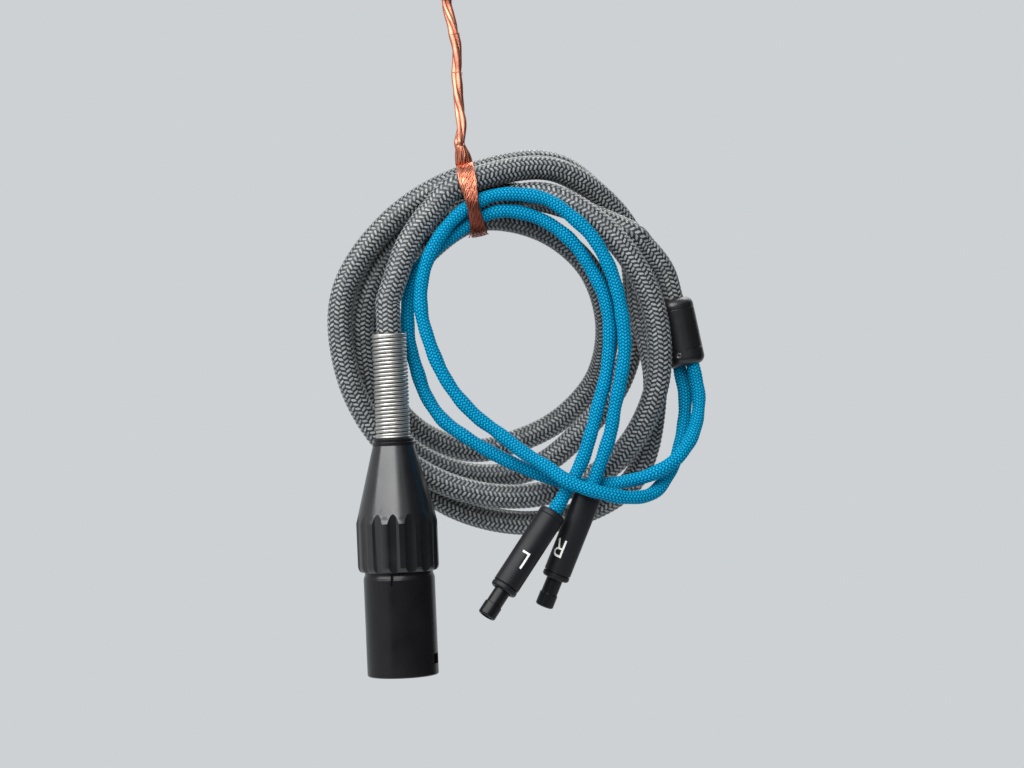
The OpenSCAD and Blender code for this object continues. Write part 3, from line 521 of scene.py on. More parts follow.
# --- Materials ---
def srgb(hex_colour):
    """A linear RGBA colour from an sRGB hex value."""
    value = hex_colour.lstrip("#")
    parts = [int(value[i:i + 2], 16) / 255 for i in (0, 2, 4)]
    return [p / 12.92 if p <= 0.04045 else ((p + 0.055) / 1.055) ** 2.4 for p in parts] + [1.0]


MATH = "ShaderNodeMath"
MIX = "ShaderNodeMix"
NOISE = "ShaderNodeTexNoise"
RANGE = "ShaderNodeMapRange"


def set_inputs(node, inputs):
    """Sets each input to its constant, or links it to another node's output."""
    for key, value in (inputs.items() if isinstance(inputs, dict) else enumerate(inputs)):
        if isinstance(value, bpy.types.NodeSocket):
            node.id_data.links.new(value, node.inputs[key])
        else:
            node.inputs[key].default_value = value


def add_node(tree, kind, inputs=(), output=0, **settings):
    """Adds a node with its fields and inputs, and gives one of its outputs."""
    made = tree.nodes.new(kind)
    for field, value in settings.items():
        setattr(made, field, value)
    set_inputs(made, inputs)
    return made.outputs[output]


def pattern_scale(size):
    """The scale of a noise pattern whose features are that many millimetres wide."""
    return 1 / (size * MM)


def new_material(name):
    """A material, with what adds nodes to it and with its Principled shader."""
    material = bpy.data.materials.new(name)
    material.use_nodes = True
    tree = material.node_tree
    return material, partial(add_node, tree), tree.nodes["Principled BSDF"]


def braided_yarn(name, yarn, shade, gap_shade, roughness, gloss, sheen, reach):
    """Braided sleeve: each float is a slanted bright bar of parallel yarns, with painted shade in
    the gaps where it dives, and floats in neighbouring columns slant against each other. Reach is
    half a float's width in columns."""
    material, add, shader = new_material(name)
    yarn, shade, gap_shade = srgb(yarn), srgb(shade), srgb(gap_shade)
    column = add("ShaderNodeSeparateXYZ", [add("ShaderNodeUVMap", uv_map="UVMap")])
    values = {"column": column, "along": column.node.outputs[1]}
    # Each row names a value, how it is worked out, and from what
    for made, operation, *inputs in (
            ("cell_x", "FLOOR", "column"),
            ("odd", "MODULO", "cell_x", 2.0),
            ("inside_x", "FRACT", "column"),
            ("middle", "SUBTRACT", "inside_x", 0.5),
            ("way", "MULTIPLY_ADD", "odd", 2 * FLOAT_SLANT, -FLOAT_SLANT),
            ("slanted", "MULTIPLY_ADD", "middle", "way", "along"),
            ("step", "MULTIPLY_ADD", "odd", FLOAT_STEP, 0.5),
            ("row", "ADD", "slanted", "step"),
            ("cell_y", "FLOOR", "row"),
            ("inside_y", "FRACT", "row"),
            ("across", "SUBTRACT", "inside_y", 0.5),
            # A float is a blunt bar, blunter at its ends than along its sides
            ("side", "ABSOLUTE", "across"),
            ("side_share", "DIVIDE", "side", FLOAT_HALF),
            ("from_side", "POWER", "side_share", 2.0),
            ("end", "ABSOLUTE", "middle"),
            ("end_share", "DIVIDE", "end", reach),
            ("from_end", "POWER", "end_share", 4.0),
            ("edge", "ADD", "from_side", "from_end"),
            # Three yarns lie side by side in a float, with painted shade in the grooves between them
            ("angle", "MULTIPLY", "across", 11.0),
            ("wave", "SINE", "angle"),
            ("groove", "ABSOLUTE", "wave"),
            ("lines", "MULTIPLY", "groove", 0.3)):
        values[made] = add(MATH, [values.get(i, i) for i in inputs], operation=operation)
    bar = add(RANGE, [values["edge"], 1.2, 0.4, 0.0, 1.0], interpolation_type="SMOOTHSTEP")
    # Each float has its own tone, and its fibres are drawn 0.4 mm wide so that they show
    cell = add("ShaderNodeCombineXYZ", [values["cell_x"], values["cell_y"]])
    chance = add("ShaderNodeTexWhiteNoise", [cell], output="Value", noise_dimensions="2D")
    place = add("ShaderNodeTexCoord", output="Object")
    fuzz = add(NOISE, {"Vector": place, "Scale": pattern_scale(0.4), "Detail": 2.0})
    both = add(MATH, [chance, fuzz], operation="ADD")
    tone = add(MATH, [both, 0.5], operation="MULTIPLY", use_clamp=True)
    bright = add(MIX, {0: tone, 6: shade, 7: yarn}, output=2, data_type="RGBA")
    # Painted shade: the grooves between yarns are mixed towards the darker yarn colour
    groove_shaded = add(MIX, {0: values["lines"], 6: bright, 7: shade}, output=2, data_type="RGBA")
    # Painted shade: the gaps between floats, where the yarn dives, get the dark gap colour
    colour = add(MIX, {0: bar, 6: gap_shade, 7: groove_shaded}, output=2, data_type="RGBA")
    height = add(MATH, [values["groove"], -0.25, bar], operation="MULTIPLY_ADD")
    bump = add("ShaderNodeBump", {"Strength": 0.8, "Distance": 0.1 * MM, "Height": height})
    set_inputs(shader, {"Base Color": colour, "Normal": bump, "Roughness": roughness,
                        "Specular IOR Level": gloss, "Sheen Weight": sheen,
                        "Sheen Roughness": 0.4})
    return material


def anodised(name, colour, bright, roughness, gloss, pit=1.0):
    """Anodised aluminium, blasted before dyeing: dark, satin and very finely grained. Blasting
    leaves pits of about 0.1 mm, and pit is the size that they are drawn at, so that they show."""
    material, add, shader = new_material(name)
    place = add("ShaderNodeTexCoord", output="Object")
    pits = add(NOISE, {"Vector": place, "Scale": pattern_scale(pit), "Detail": 3.0})
    # The dye takes a little unevenly, over about 8 mm
    clouds = add(NOISE, {"Vector": place, "Scale": pattern_scale(25 / 3), "Detail": 2.0})
    cloudy = add(MATH, [clouds, 0.6], operation="MULTIPLY")
    tone = add(MATH, [pits, 0.4, cloudy], operation="MULTIPLY_ADD", use_clamp=True)
    dyed = add(MIX, {0: tone, 6: srgb(colour), 7: srgb(bright)}, output=2, data_type="RGBA")
    rough = add(RANGE, [clouds, 0.3, 0.7, roughness - 0.04, roughness + 0.05])
    bump = add("ShaderNodeBump", {"Strength": 0.12, "Distance": 0.02 * MM, "Height": pits})
    set_inputs(shader, {"Base Color": dyed, "Roughness": rough, "Normal": bump,
                        "Specular IOR Level": gloss})
    return material


def moulded(name, colour, bright, roughness):
    """Moulded plastic: even in tone, with the mould's faint grain, drawn 1.1 mm wide so that it
    shows."""
    material, add, shader = new_material(name)
    place = add("ShaderNodeTexCoord", output="Object")
    skin = add(NOISE, {"Vector": place, "Scale": pattern_scale(10 / 9), "Detail": 3.0})
    tone = add(MIX, {0: skin, 6: srgb(colour), 7: srgb(bright)}, output=2, data_type="RGBA")
    bump = add("ShaderNodeBump", {"Strength": 0.15, "Distance": 0.03 * MM, "Height": skin})
    set_inputs(shader, {"Base Color": tone, "Normal": bump, "Roughness": roughness})
    return material


def plated(name, colour, worn, roughness, patch=2.0, tarnish=None):
    """Bare or plated metal: tone and gloss shift in patches of that width, where it was drawn or
    rubbed. Painted shade is a colour, and the two heights between which the metal is darkened
    towards it as painted shade further down."""
    material, add, shader = new_material(name)
    place = add("ShaderNodeTexCoord", output="Object")
    rub = add(NOISE, {"Vector": place, "Scale": pattern_scale(patch), "Detail": 4.0})
    mottle = add(RANGE, [rub, 0.35, 0.65])
    tone = add(MIX, {0: mottle, 6: srgb(colour), 7: srgb(worn)}, output=2, data_type="RGBA")
    # Painted shade: below the first height the metal is darkened towards the brown, most at the
    # second
    if tarnish:
        shade_colour, above, below = tarnish
        height = add("ShaderNodeSeparateXYZ", [place], output=2)
        shade_amount = add(RANGE, [height, above * MM, below * MM, 0.0, 0.85],
                   interpolation_type="SMOOTHSTEP")
        tone = add(MIX, {0: shade_amount, 6: tone, 7: srgb(shade_colour)}, output=2, data_type="RGBA")
    rough = add(RANGE, [rub, 0.3, 0.7, roughness, roughness + 0.12])
    set_inputs(shader, {"Base Color": tone, "Roughness": rough, "Metallic": 1.0})
    return material


def finishes(colours):
    """Each finish, as the function that makes it, its name and what that function needs."""
    return {
        # Soft pale floats over gaps of painted shade, with a faint sheen
        "grey_braid": (braided_yarn, "Grey braided polyester sleeve", colours.yarn_light,
                       colours.yarn_shade, colours.yarn_gap_shade, 0.42, 0.45, 0.1, 0.51),
        # Even, saturated and matt, with painted shade in the gaps between floats
        "blue_braid": (braided_yarn, "Blue braided nylon cord", colours.cord_light,
                       colours.cord_shade, colours.cord_gap_shade, 0.6, 0.06, 0.0, 0.45),
        # Nearly black, with soft reflections
        "shell": (anodised, "Black anodised aluminium, satin", "#0d0c0e", "#161518", 0.3, 0.3),
        # A little glossier, so that its flutes carry bright lines
        "backshell": (anodised, "Dark grey anodised aluminium, satin", "#101113", "#18191c",
                      0.24, 0.7),
        # Nearly the shell's black, with a soft wide highlight down its round side
        "splitter": (anodised, "Black anodised aluminium, fine satin", "#0d0e10", "#1a1b1e",
                     0.34, 0.65),
        # Duller and greyer, blasted harder
        "barrel": (anodised, "Blasted dark grey anodised aluminium", "#141518", "#1c1d20", 0.42,
                   0.22, 0.5),
        # Smooth and dark, with little shine
        "nose": (anodised, "Black anodised aluminium, smooth", "#0c0d0f", "#141518", 0.3, 0.22),
        # Warm and bright, and its tone shifts every few strands
        "copper": (plated, "Bare copper litz wire", "#d88f74", "#bf7660", 0.34, 5.0),
        # The same wire, darkened to brown towards the band's foot as painted shade
        "tie_copper": (plated, "Tarnished copper litz wire", "#e09a7c", "#b4634a", 0.3, 2.0,
                       ("#6e342b", -58, -76)),
        # A bright, nearly neutral grey, so that each curl carries its own line of light
        "nickel": (plated, "Nickel plated spring wire", "#c2c0bc", "#aeaca8", 0.33),
        # Yellow and shiny
        "gold": (plated, "Gold plated brass", "#e0bd6c", "#c49a4a", 0.2),
        # A middle grey, turned and bare
        "steel": (plated, "Turned stainless steel", "#a9aaac", "#86878a", 0.26),
        # A dull, slightly yellow grey
        "tin": (plated, "Tinned spring bronze", "#b8b3a6", "#958f80", 0.3),
        # Plain black and half matt
        "insulator": (moulded, "Black moulded nylon", "#1b1b1e", "#262629", 0.5),
        # Undyed, so an off-white
        "pale": (moulded, "Pale moulded nylon", "#cfcbc0", "#bdb9ae", 0.45),
        # Dark red with a slight shine
        "wire": (moulded, "Red extruded wire cover", "#8a3328", "#6d2820", 0.4),
        # Flat and clean, a film over the barrel
        "paint": (moulded, "White pad-printed enamel", "#f2f2ef", "#e2e2de", 0.45),
    }


def coat(thing, finish):
    """Gives a piece one finish, which is made when the first piece asks for it."""
    maker, name, *how = finishes(bpy.context.scene.hank_colours)[finish]
    thing.data.materials.clear()
    thing.data.materials.append(bpy.data.materials.get(name) or maker(name, *how))


def dress(thing, finish, node, body="root"):
    """Finishes a piece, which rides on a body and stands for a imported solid."""
    coat(thing, finish)
    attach(thing, body)
    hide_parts(node)


# --- Finished copies of the rigid pieces ---
def select_only(thing):
    """Selects one object alone, and makes it the active one."""
    bpy.ops.object.select_all(action="DESELECT")
    thing.select_set(True)
    bpy.context.view_layer.objects.active = thing


def true_normals(thing, at, axis):
    """Makes the normals of a turned piece true to its axis, so that its facets shade evenly."""
    end_face, wall_slip, upright = 0.999, 0.07, 0.01
    mesh = thing.data
    at = np.array(at) * MM
    normals = np.array([corner.vector for corner in mesh.corner_normals])
    points = np.array([v.co for v in mesh.vertices]) - at
    spokes = square_to(points, axis)
    spokes /= np.maximum(np.linalg.norm(spokes, axis=1), 1e-9)[:, None]
    for face in mesh.polygons:
        out = square_to(np.array(face.center) - at, axis)
        out /= max(np.linalg.norm(out), 1e-9)
        flat = np.array(face.normal)
        rise = flat.dot(axis)
        corners = list(face.loop_indices)
        if abs(rise) < end_face and abs(flat.dot(np.cross(axis, out))) < wall_slip:
            normals[corners] = flat.dot(out) * spokes[list(face.vertices)] + rise * axis
        elif abs(rise) < upright:
            normals[corners] = square_to(normals[corners], axis)
    mesh.normals_split_custom_set(unit(normals).tolist())


def finished_copy(node, finish, edge, at, axis, slot, body="root"):
    """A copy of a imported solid, merged, with its sharp edges rounded, which stands for it."""
    thing = NODES[node].copy()
    thing.data = NODES[node].data.copy()
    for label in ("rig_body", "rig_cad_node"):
        if label in thing:
            del thing[label]
    thing.parent = None
    thing.name = node + "_finished"
    bpy.context.scene.collection.objects.link(thing)
    select_only(thing)
    bpy.ops.mesh.customdata_custom_splitnormals_clear()
    bpy.ops.object.mode_set(mode="EDIT")
    bpy.ops.mesh.select_all(action="SELECT")
    bpy.ops.mesh.remove_doubles(threshold=0.002 * MM)
    bpy.ops.mesh.dissolve_limited(angle_limit=math.radians(0.5))
    bpy.ops.object.mode_set(mode="OBJECT")
    bevel = thing.modifiers.new("Edges", "BEVEL")
    bevel.width = edge * MM
    bevel.segments = 3
    bevel.limit_method = "ANGLE"
    bevel.angle_limit = math.radians(EDGE_ANGLE)
    bevel.miter_outer = "MITER_ARC"
    bpy.ops.object.modifier_apply(modifier=bevel.name)
    bpy.ops.object.shade_smooth_by_angle(angle=math.radians(SMOOTH_ANGLE))
    true_normals(thing, at, axis)
    dress(thing, finish, node, body)


# --- Sizes and colours that a user may change ---
class HankSizes(bpy.types.PropertyGroup):
    main_pitch: bpy.props.FloatProperty(
        name="Main braid pitch", description="Distance between two plaits along the main cable",
        default=1.25 * MM, min=0.8 * MM, max=2 * MM, unit="LENGTH", precision=5)
    main_relief: bpy.props.FloatProperty(
        name="Main braid relief", description="How far a float stands above its gaps",
        default=0.24 * MM, min=0.05 * MM, max=0.4 * MM, unit="LENGTH", precision=5)
    main_columns: bpy.props.IntProperty(
        name="Main braid columns", description="Columns of floats round the main cable",
        default=14, min=8, max=20)
    lead_pitch: bpy.props.FloatProperty(
        name="Lead braid pitch", description="Distance between two plaits along a lead",
        default=0.92 * MM, min=0.5 * MM, max=1.5 * MM, unit="LENGTH", precision=5)
    lead_relief: bpy.props.FloatProperty(
        name="Lead braid relief", description="How far a float stands above its gaps",
        default=0.13 * MM, min=0.03 * MM, max=0.25 * MM, unit="LENGTH", precision=5)
    lead_columns: bpy.props.IntProperty(
        name="Lead braid columns", description="Columns of floats round a lead",
        default=14, min=8, max=20)
    rope_pitch: bpy.props.FloatProperty(
        name="Rope lay", description="Length of one turn of the copper rope's strands",
        default=34 * MM, min=8 * MM, max=40 * MM, unit="LENGTH", precision=5)
    spring_wire: bpy.props.FloatProperty(
        name="Spring wire", description="Thickness of the strain relief's wire",
        default=0.86 * MM, min=0.5 * MM, max=1 * MM, unit="LENGTH", precision=5)


class HankColours(bpy.types.PropertyGroup):
    yarn_light: bpy.props.StringProperty(
        name="Light yarn", description="sRGB hex of the palest grey yarn", default="#b3b7b7")
    # The darker grey is also the painted shade in the grooves between yarns
    yarn_shade: bpy.props.StringProperty(
        name="Grey yarn", description="sRGB hex of the darker grey yarn", default="#606467")
    # The grey gap colour is painted shade where a float dives under its neighbours
    yarn_gap_shade: bpy.props.StringProperty(
        name="Grey gap", description="sRGB hex between two floats", default="#1d2023")
    cord_light: bpy.props.StringProperty(
        name="Light blue yarn", description="sRGB hex of the lit blue yarn", default="#05b4dc")
    # The darker blue is also the painted shade in the grooves between yarns
    cord_shade: bpy.props.StringProperty(
        name="Blue yarn", description="sRGB hex of the darker blue yarn", default="#049abe")
    # The blue gap colour is painted shade where a float dives under its neighbours
    cord_gap_shade: bpy.props.StringProperty(
        name="Blue gap", description="sRGB hex between two blue floats", default="#005a85")


# --- Operators ---
class HANK_OT_camera(bpy.types.Operator):
    """Adds the level camera in front of the hank"""
    bl_idname = "hank.camera"
    bl_label = "Camera"

    def execute(self, context):
        data = bpy.data.cameras.new("View")
        data.lens = CAMERA_LENS
        data.clip_start = 0.01
        camera = bpy.data.objects.new("View", data)
        camera.location = Vector(CAMERA_AT) * MM
        camera.rotation_euler = (math.radians(90), 0, 0)
        context.scene.collection.objects.link(camera)
        context.scene.camera = camera
        return {"FINISHED"}


class HANK_OT_main_cable(bpy.types.Operator):
    """Winds the grey braided cable from the XLR plug to the splitter"""
    bl_idname = "hank.main_cable"
    bl_label = "Main cable"

    def execute(self, context):
        sizes = context.scene.hank_sizes
        weave = (sizes.main_columns, sizes.main_pitch / MM, sizes.main_relief / MM)
        route = hank_route()
        cable = braided_tube("main_cable_braid", route, CABLE_D, *weave)
        dress(cable, "grey_braid", "main_cable")
        Track(route).length * MM
        straight = [plug_point(CABLE_CUT_Z), plug_point(SPRING_FOOT_Z + SLEEVE_START - SLEEVE_GAP)]
        inner = braided_tube("cable_end_braid", straight, CABLE_D, *weave)
        dress(inner, "grey_braid", "cable_end")
        return {"FINISHED"}


class HANK_OT_leads(bpy.types.Operator):
    """Hangs the two blue leads from the splitter to the headphone plugs"""
    bl_idname = "hank.leads"
    bl_label = "Leads"

    def execute(self, context):
        sizes = context.scene.hank_sizes
        weave = (sizes.lead_columns, sizes.lead_pitch / MM, sizes.lead_relief / MM)
        for name, side, middle in (("left", 1, LEAD_LEFT_ROUTE), ("right", -1, LEAD_RIGHT_ROUTE)):
            route = lead_route(side, middle, *HEADPHONE_PLUGS[name])
            lead = braided_tube(f"lead_{name}_braid", route, LEAD_D, *weave, LEAD_SQUEEZE)
            dress(lead, "blue_braid", f"lead_{name}")
            Track(route).length * MM
        return {"FINISHED"}


class HANK_OT_hanger(bpy.types.Operator):
    """Twists the copper rope with its hanging loop and knot"""
    bl_idname = "hank.hanger"
    bl_label = "Hanger"

    def execute(self, context):
        pitch = context.scene.hank_sizes.rope_pitch / MM
        route = rope_route()
        track = Track(route)
        strands = twisted_strands(track, ROPE_STRANDS, THIRD_TURN, sides=48, ridges=16,
                                  turn_pitch=11.0, step=0.25, orbit=0.62, orbit_pitch=-pitch,
                                  wander=0.1)
        rope = joined_tubes("hanger_rope_strands", strands + self.loose_wires(track))
        dress(rope, "copper", "hanger_rope")
        strands = twisted_strands(Track(loop_route()), LOOP_STRANDS, math.pi, sides=40, ridges=12,
                                  turn_pitch=9.0, step=0.2, orbit=0.5, orbit_pitch=-13.0,
                                  wander=0.06)
        loop = joined_tubes("hanging_loop_strands", strands)
        dress(loop, "copper", "hanging_loop")
        dress(self.knot(), "copper", "loop_knot")
        return {"FINISHED"}

    def loose_wires(self, track):
        """Loose wires that are wound once round the rope."""
        s = np.linspace(0, 1.3, 60)
        rings = [track.at(place + 0.5 * s, 2 * np.pi * s, LOOSE_WIRE_R) for place in LOOSE_WIRES]
        return [litz_tube(Track(ring, step=0.05), 0.16, sides=8, ridges=2, turn_pitch=4.0,
                          step=0.15) for ring in rings]

    def knot(self):
        """A tight coil of strands round an axis, over a core of the same strands."""
        axis = Track([(KNOT_X, 0, KNOT_TOP_Z - KNOT_H), (KNOT_X, 0, KNOT_TOP_Z)])
        s = np.linspace(0, KNOT_TURNS, int(KNOT_TURNS * 40) + 1)
        height = KNOT_WRAP_D / 2 + (axis.length - KNOT_WRAP_D) * s / KNOT_TURNS
        height = height + KNOT_TILT * np.cos(2 * np.pi * s)
        least = 0.45 * KNOT_WRAP_D
        coil = axis.at(np.clip(height, least, axis.length - least), 2 * np.pi * s,
                       (KNOT_D - KNOT_WRAP_D) / 2)
        wraps = twisted_strands(Track(coil, step=0.05), [0.56 * KNOT_WRAP_D] * 3, THIRD_TURN,
                                sides=18, ridges=6, turn_pitch=2.0, step=0.12,
                                orbit=0.22 * KNOT_WRAP_D, orbit_pitch=5.0, taper=0.6)
        core_d = KNOT_D - 2 * KNOT_WRAP_D
        core = twisted_strands(axis, [0.6 * core_d] * 3, THIRD_TURN, sides=24, ridges=8,
                               turn_pitch=3.0, step=0.2, orbit=0.24 * core_d, orbit_pitch=12.0)
        return joined_tubes("loop_knot_wraps", wraps + core)


def band_outline(grow, step=0.4):
    """The closed line round the tied strands, that far outside them, in the tie's plane, and each
    point's length along it."""
    middle, reach, depth, _ = tie_frame()
    strands = tied_strands()
    spots = []
    for turn in np.radians(np.arange(0, 360, 2.0)):
        n = np.array([math.cos(turn), math.sin(turn)])
        x, y, r = max(strands, key=lambda c: c[0] * n[0] + c[1] * n[1] + c[2])
        spots.append(np.array([x, y]) + (r + grow) * n)
    flat = np.array(spots + spots[:1])
    s = lengths(flat)
    even = np.linspace(0, s[-1], int(s[-1] / step) + 1)
    flat = np.column_stack([np.interp(even, s, flat[:, i]) for i in (0, 1)])
    # The band rounds the corners that the strands would press into a taut line
    near = int(2.2 / step)
    even_out = np.ones(2 * near + 1) / (2 * near + 1)
    closed = np.vstack([flat[-near - 1:-1], flat, flat[1:near + 1]])
    flat = np.column_stack([np.convolve(closed[:, i], even_out, "valid") for i in (0, 1)])
    return middle + flat[:, :1] * reach + flat[:, 1:] * depth, even


class HANK_OT_tie(bpy.types.Operator):
    """Ties the hank with a flat copper band and its hitch"""
    bl_idname = "hank.tie"
    bl_label = "Tie"

    def execute(self, context):
        dress(self.band(), "tie_copper", "tie_band")
        dress(self.hitch(), "tie_copper", "tie_hitch")
        return {"FINISHED"}

    def band(self):
        """Wires that cross each other in a flat bunch, over a strip that fills it. The band is
        pulled narrow in front and frayed at its foot."""
        middle, reach, depth, normal = tie_frame()
        line, s = band_outline(BAND_GAP + BAND_T / 2)
        out = unit(np.cross(np.gradient(line, axis=0), normal))
        if np.dot(out[0], line[0] - line.mean(0)) < 0:
            out = -out
        height = (line - middle) @ reach
        width = np.interp(height, BAND_REACH, BAND_WIDTHS)
        turn = 2 * np.pi * s / s[-1]
        k = 2 * np.pi * np.arange(STRIP_SIDES) / STRIP_SIDES
        half = (width[:, None] / 2 - STRIP_INSET)[..., None]
        strip = (line[:, None] + half * np.cos(k)[:, None] * normal
                 + STRIP_HALF_T * np.sin(k)[:, None] * out[:, None])
        tubes = [(strip.reshape(-1, 3), len(line), STRIP_SIDES)]
        for i in range(BAND_WIRES):
            phase = (2 * np.pi * i / BAND_WIRES + BAND_WINDS * turn
                     + BAND_STRAY * np.sin(5 * turn + 1.7 * i))
            across = (width - BAND_WIRE_D) / 2 * np.cos(phase)
            lift = (BAND_T - BAND_WIRE_D) / 2 * np.sin(phase)
            tubes.append(wire_along(line + across[:, None] * normal + lift[:, None] * out,
                                    BAND_WIRE_D))
        foot = line[np.argmin(height + 0.2 * (line - middle) @ depth)]
        return joined_tubes("tie_band_strands", tubes + self.fray(foot))

    def fray(self, foot):
        """Short cut ends that hang off the band's foot, each with its own length and lean."""
        _, reach, depth, normal = tie_frame()
        tubes = []
        # The sines of its number make each wire differ, the same way in every run
        for i in range(FRAY_WIRES):
            side = normal * (FRAY_W * i / (FRAY_WIRES - 1) - FRAY_W / 2)
            lean = normal * (0.8 * math.sin(2.3 * i)) + depth * (0.5 * math.cos(1.7 * i))
            fall = 0.9 + 0.5 * math.sin(4.1 * i)
            start = foot + side - 0.5 * depth * math.cos(1.3 * i)
            tubes.append(wire_along([start + 0.8 * reach, start,
                                     start - 0.5 * fall * reach + 0.3 * lean,
                                     start - fall * reach + lean], FRAY_WIRE_D))
        return tubes

    def hitch(self):
        """The rope's wires leave its end, flare out and run into the band."""
        foot, top, out = hitch_ends()
        foot, top = foot - HITCH_IN_BAND * out, top + HITCH_IN_ROPE * out
        normal = tie_frame()[3]
        along = np.cross(out, normal)
        t = np.linspace(0, 1, 15)[:, None]
        ease = t * t * (3 - 2 * t)
        neck = HITCH_NECK_R - HITCH_PINCH * (1 - t) ** 6 + HITCH_SWELL * np.sin(np.pi * t)
        wide, deep = [neck + flare * ease for flare in HITCH_FLARE]
        tubes = []
        for count, share in HITCH_RINGS:
            for i in range(count):
                a = 2 * np.pi * i / count - 0.5 * t + 0.08 * np.sin(5 * t + 2.1 * i)
                off = wide * np.cos(a) * normal + deep * np.sin(a) * along
                tubes.append(wire_along(top + (foot - top) * t + share * off, HITCH_WIRE_D))
        return joined_tubes("tie_hitch_strands", tubes)


class HANK_OT_xlr_plug(bpy.types.Operator):
    """Finishes the XLR plug and coils its spring"""
    bl_idname = "hank.xlr_plug"
    bl_label = "XLR plug"

    def execute(self, context):
        way = (PLUG_AT, lean_axis(PLUG_LEAN))
        finished_copy("xlr_shell", "shell", 0.15, *way, "black_anodised")
        finished_copy("xlr_backshell", "backshell", 0.2, *way, "grey_anodised", "backshell")
        finished_copy("rear_collar", "shell", 0.12, *way, "black_anodised", "tail")
        for node, finish in (("xlr_insert", "insulator"), ("xlr_contacts", "gold"),
                             ("xlr_ground_contact", "tin"), ("plug_wires", "wire"),
                             ("xlr_chuck", "pale")):
            coat(NODES[node], finish)
        self.spring(context.scene.hank_sizes.spring_wire / MM)
        return {"FINISHED"}

    def spring(self, wire):
        """A round wire section, swept up by a Screw modifier, with a closed curl at each end, then
        set on the plug's axis."""
        bpy.ops.object.select_all(action="DESELECT")
        radius = (SPRING_D - wire) / 2 * MM
        bpy.ops.mesh.primitive_circle_add(vertices=16, radius=wire / 2 * MM,
                                          fill_type="NGON", location=(0, 0, 0))
        thing = bpy.context.object
        thing.name = "strain_spring_coil"
        bpy.ops.object.mode_set(mode="EDIT")
        bpy.ops.transform.rotate(value=math.radians(90), orient_axis="X",
                                 center_override=(0, 0, 0))
        bpy.ops.transform.translate(value=(radius, 0, wire / 2 * MM))
        bpy.ops.object.mode_set(mode="OBJECT")
        rise = SPRING_TOP_Z - SPRING_FOOT_Z - wire
        screw = thing.modifiers.new("Curls", "SCREW")
        screw.axis = "Z"
        screw.angle = math.tau
        screw.iterations = SPRING_CURLS
        screw.screw_offset = rise / SPRING_CURLS * MM
        screw.steps = 32
        screw.render_steps = 32
        screw.use_merge_vertices = True
        screw.merge_threshold = 1e-7
        bpy.ops.object.modifier_apply(modifier=screw.name)
        bpy.ops.object.mode_set(mode="EDIT")
        bpy.ops.mesh.select_all(action="SELECT")
        bpy.ops.mesh.normals_make_consistent(inside=False)
        bpy.ops.object.mode_set(mode="OBJECT")
        bpy.ops.object.select_all(action="DESELECT")
        for height in (wire / 2, wire / 2 + rise):
            bpy.ops.mesh.primitive_torus_add(major_radius=radius, minor_radius=wire / 2 * MM,
                                             major_segments=64, minor_segments=16,
                                             location=(0, 0, height * MM))
            bpy.ops.object.transform_apply(location=True)
            thing.select_set(True)
            bpy.context.view_layer.objects.active = thing
            bpy.ops.object.join()
        bpy.ops.object.shade_smooth()
        place = (Matrix.Translation(Vector(plug_point(SPRING_FOOT_Z)) * MM)
                 @ Matrix.Rotation(math.radians(PLUG_LEAN), 4, "Y"))
        thing.data.transform(place)
        dress(thing, "nickel", "strain_spring", "tail")


class HANK_OT_splitter(bpy.types.Operator):
    """Finishes the splitter"""
    bl_idname = "hank.splitter"
    bl_label = "Splitter"

    def execute(self, context):
        way = (SPLITTER_AT, lean_axis(SPLITTER_LEAN))
        for node in ("splitter_top_cap", "splitter_barrel", "splitter_bottom_cap"):
            finished_copy(node, "splitter", 0.12, *way, "splitter_black")
        finished_copy("splitter_screw", "steel", 0.08, *way, "steel")
        coat(NODES["splitter_core"], "insulator")
        return {"FINISHED"}


class HANK_OT_headphone_plugs(bpy.types.Operator):
    """Finishes both headphone plugs"""
    bl_idname = "hank.headphone_plugs"
    bl_label = "Headphone plugs"

    def execute(self, context):
        for side, (at, lean, swing) in HEADPHONE_PLUGS.items():
            way = (at, down_axis(lean, swing))
            for part, edge in (("rear_cap", 0.15), ("barrel", 0.12), ("front_ring", 0.15)):
                finished_copy(f"{side}_{part}", "barrel", edge, *way, "plug_grey")
            finished_copy(f"{side}_nose", "nose", 0.15, *way, "nose_black")
            coat(NODES[f"{side}_insulator"], "pale")
            coat(NODES[f"{side}_contacts"], "gold")
        return {"FINISHED"}


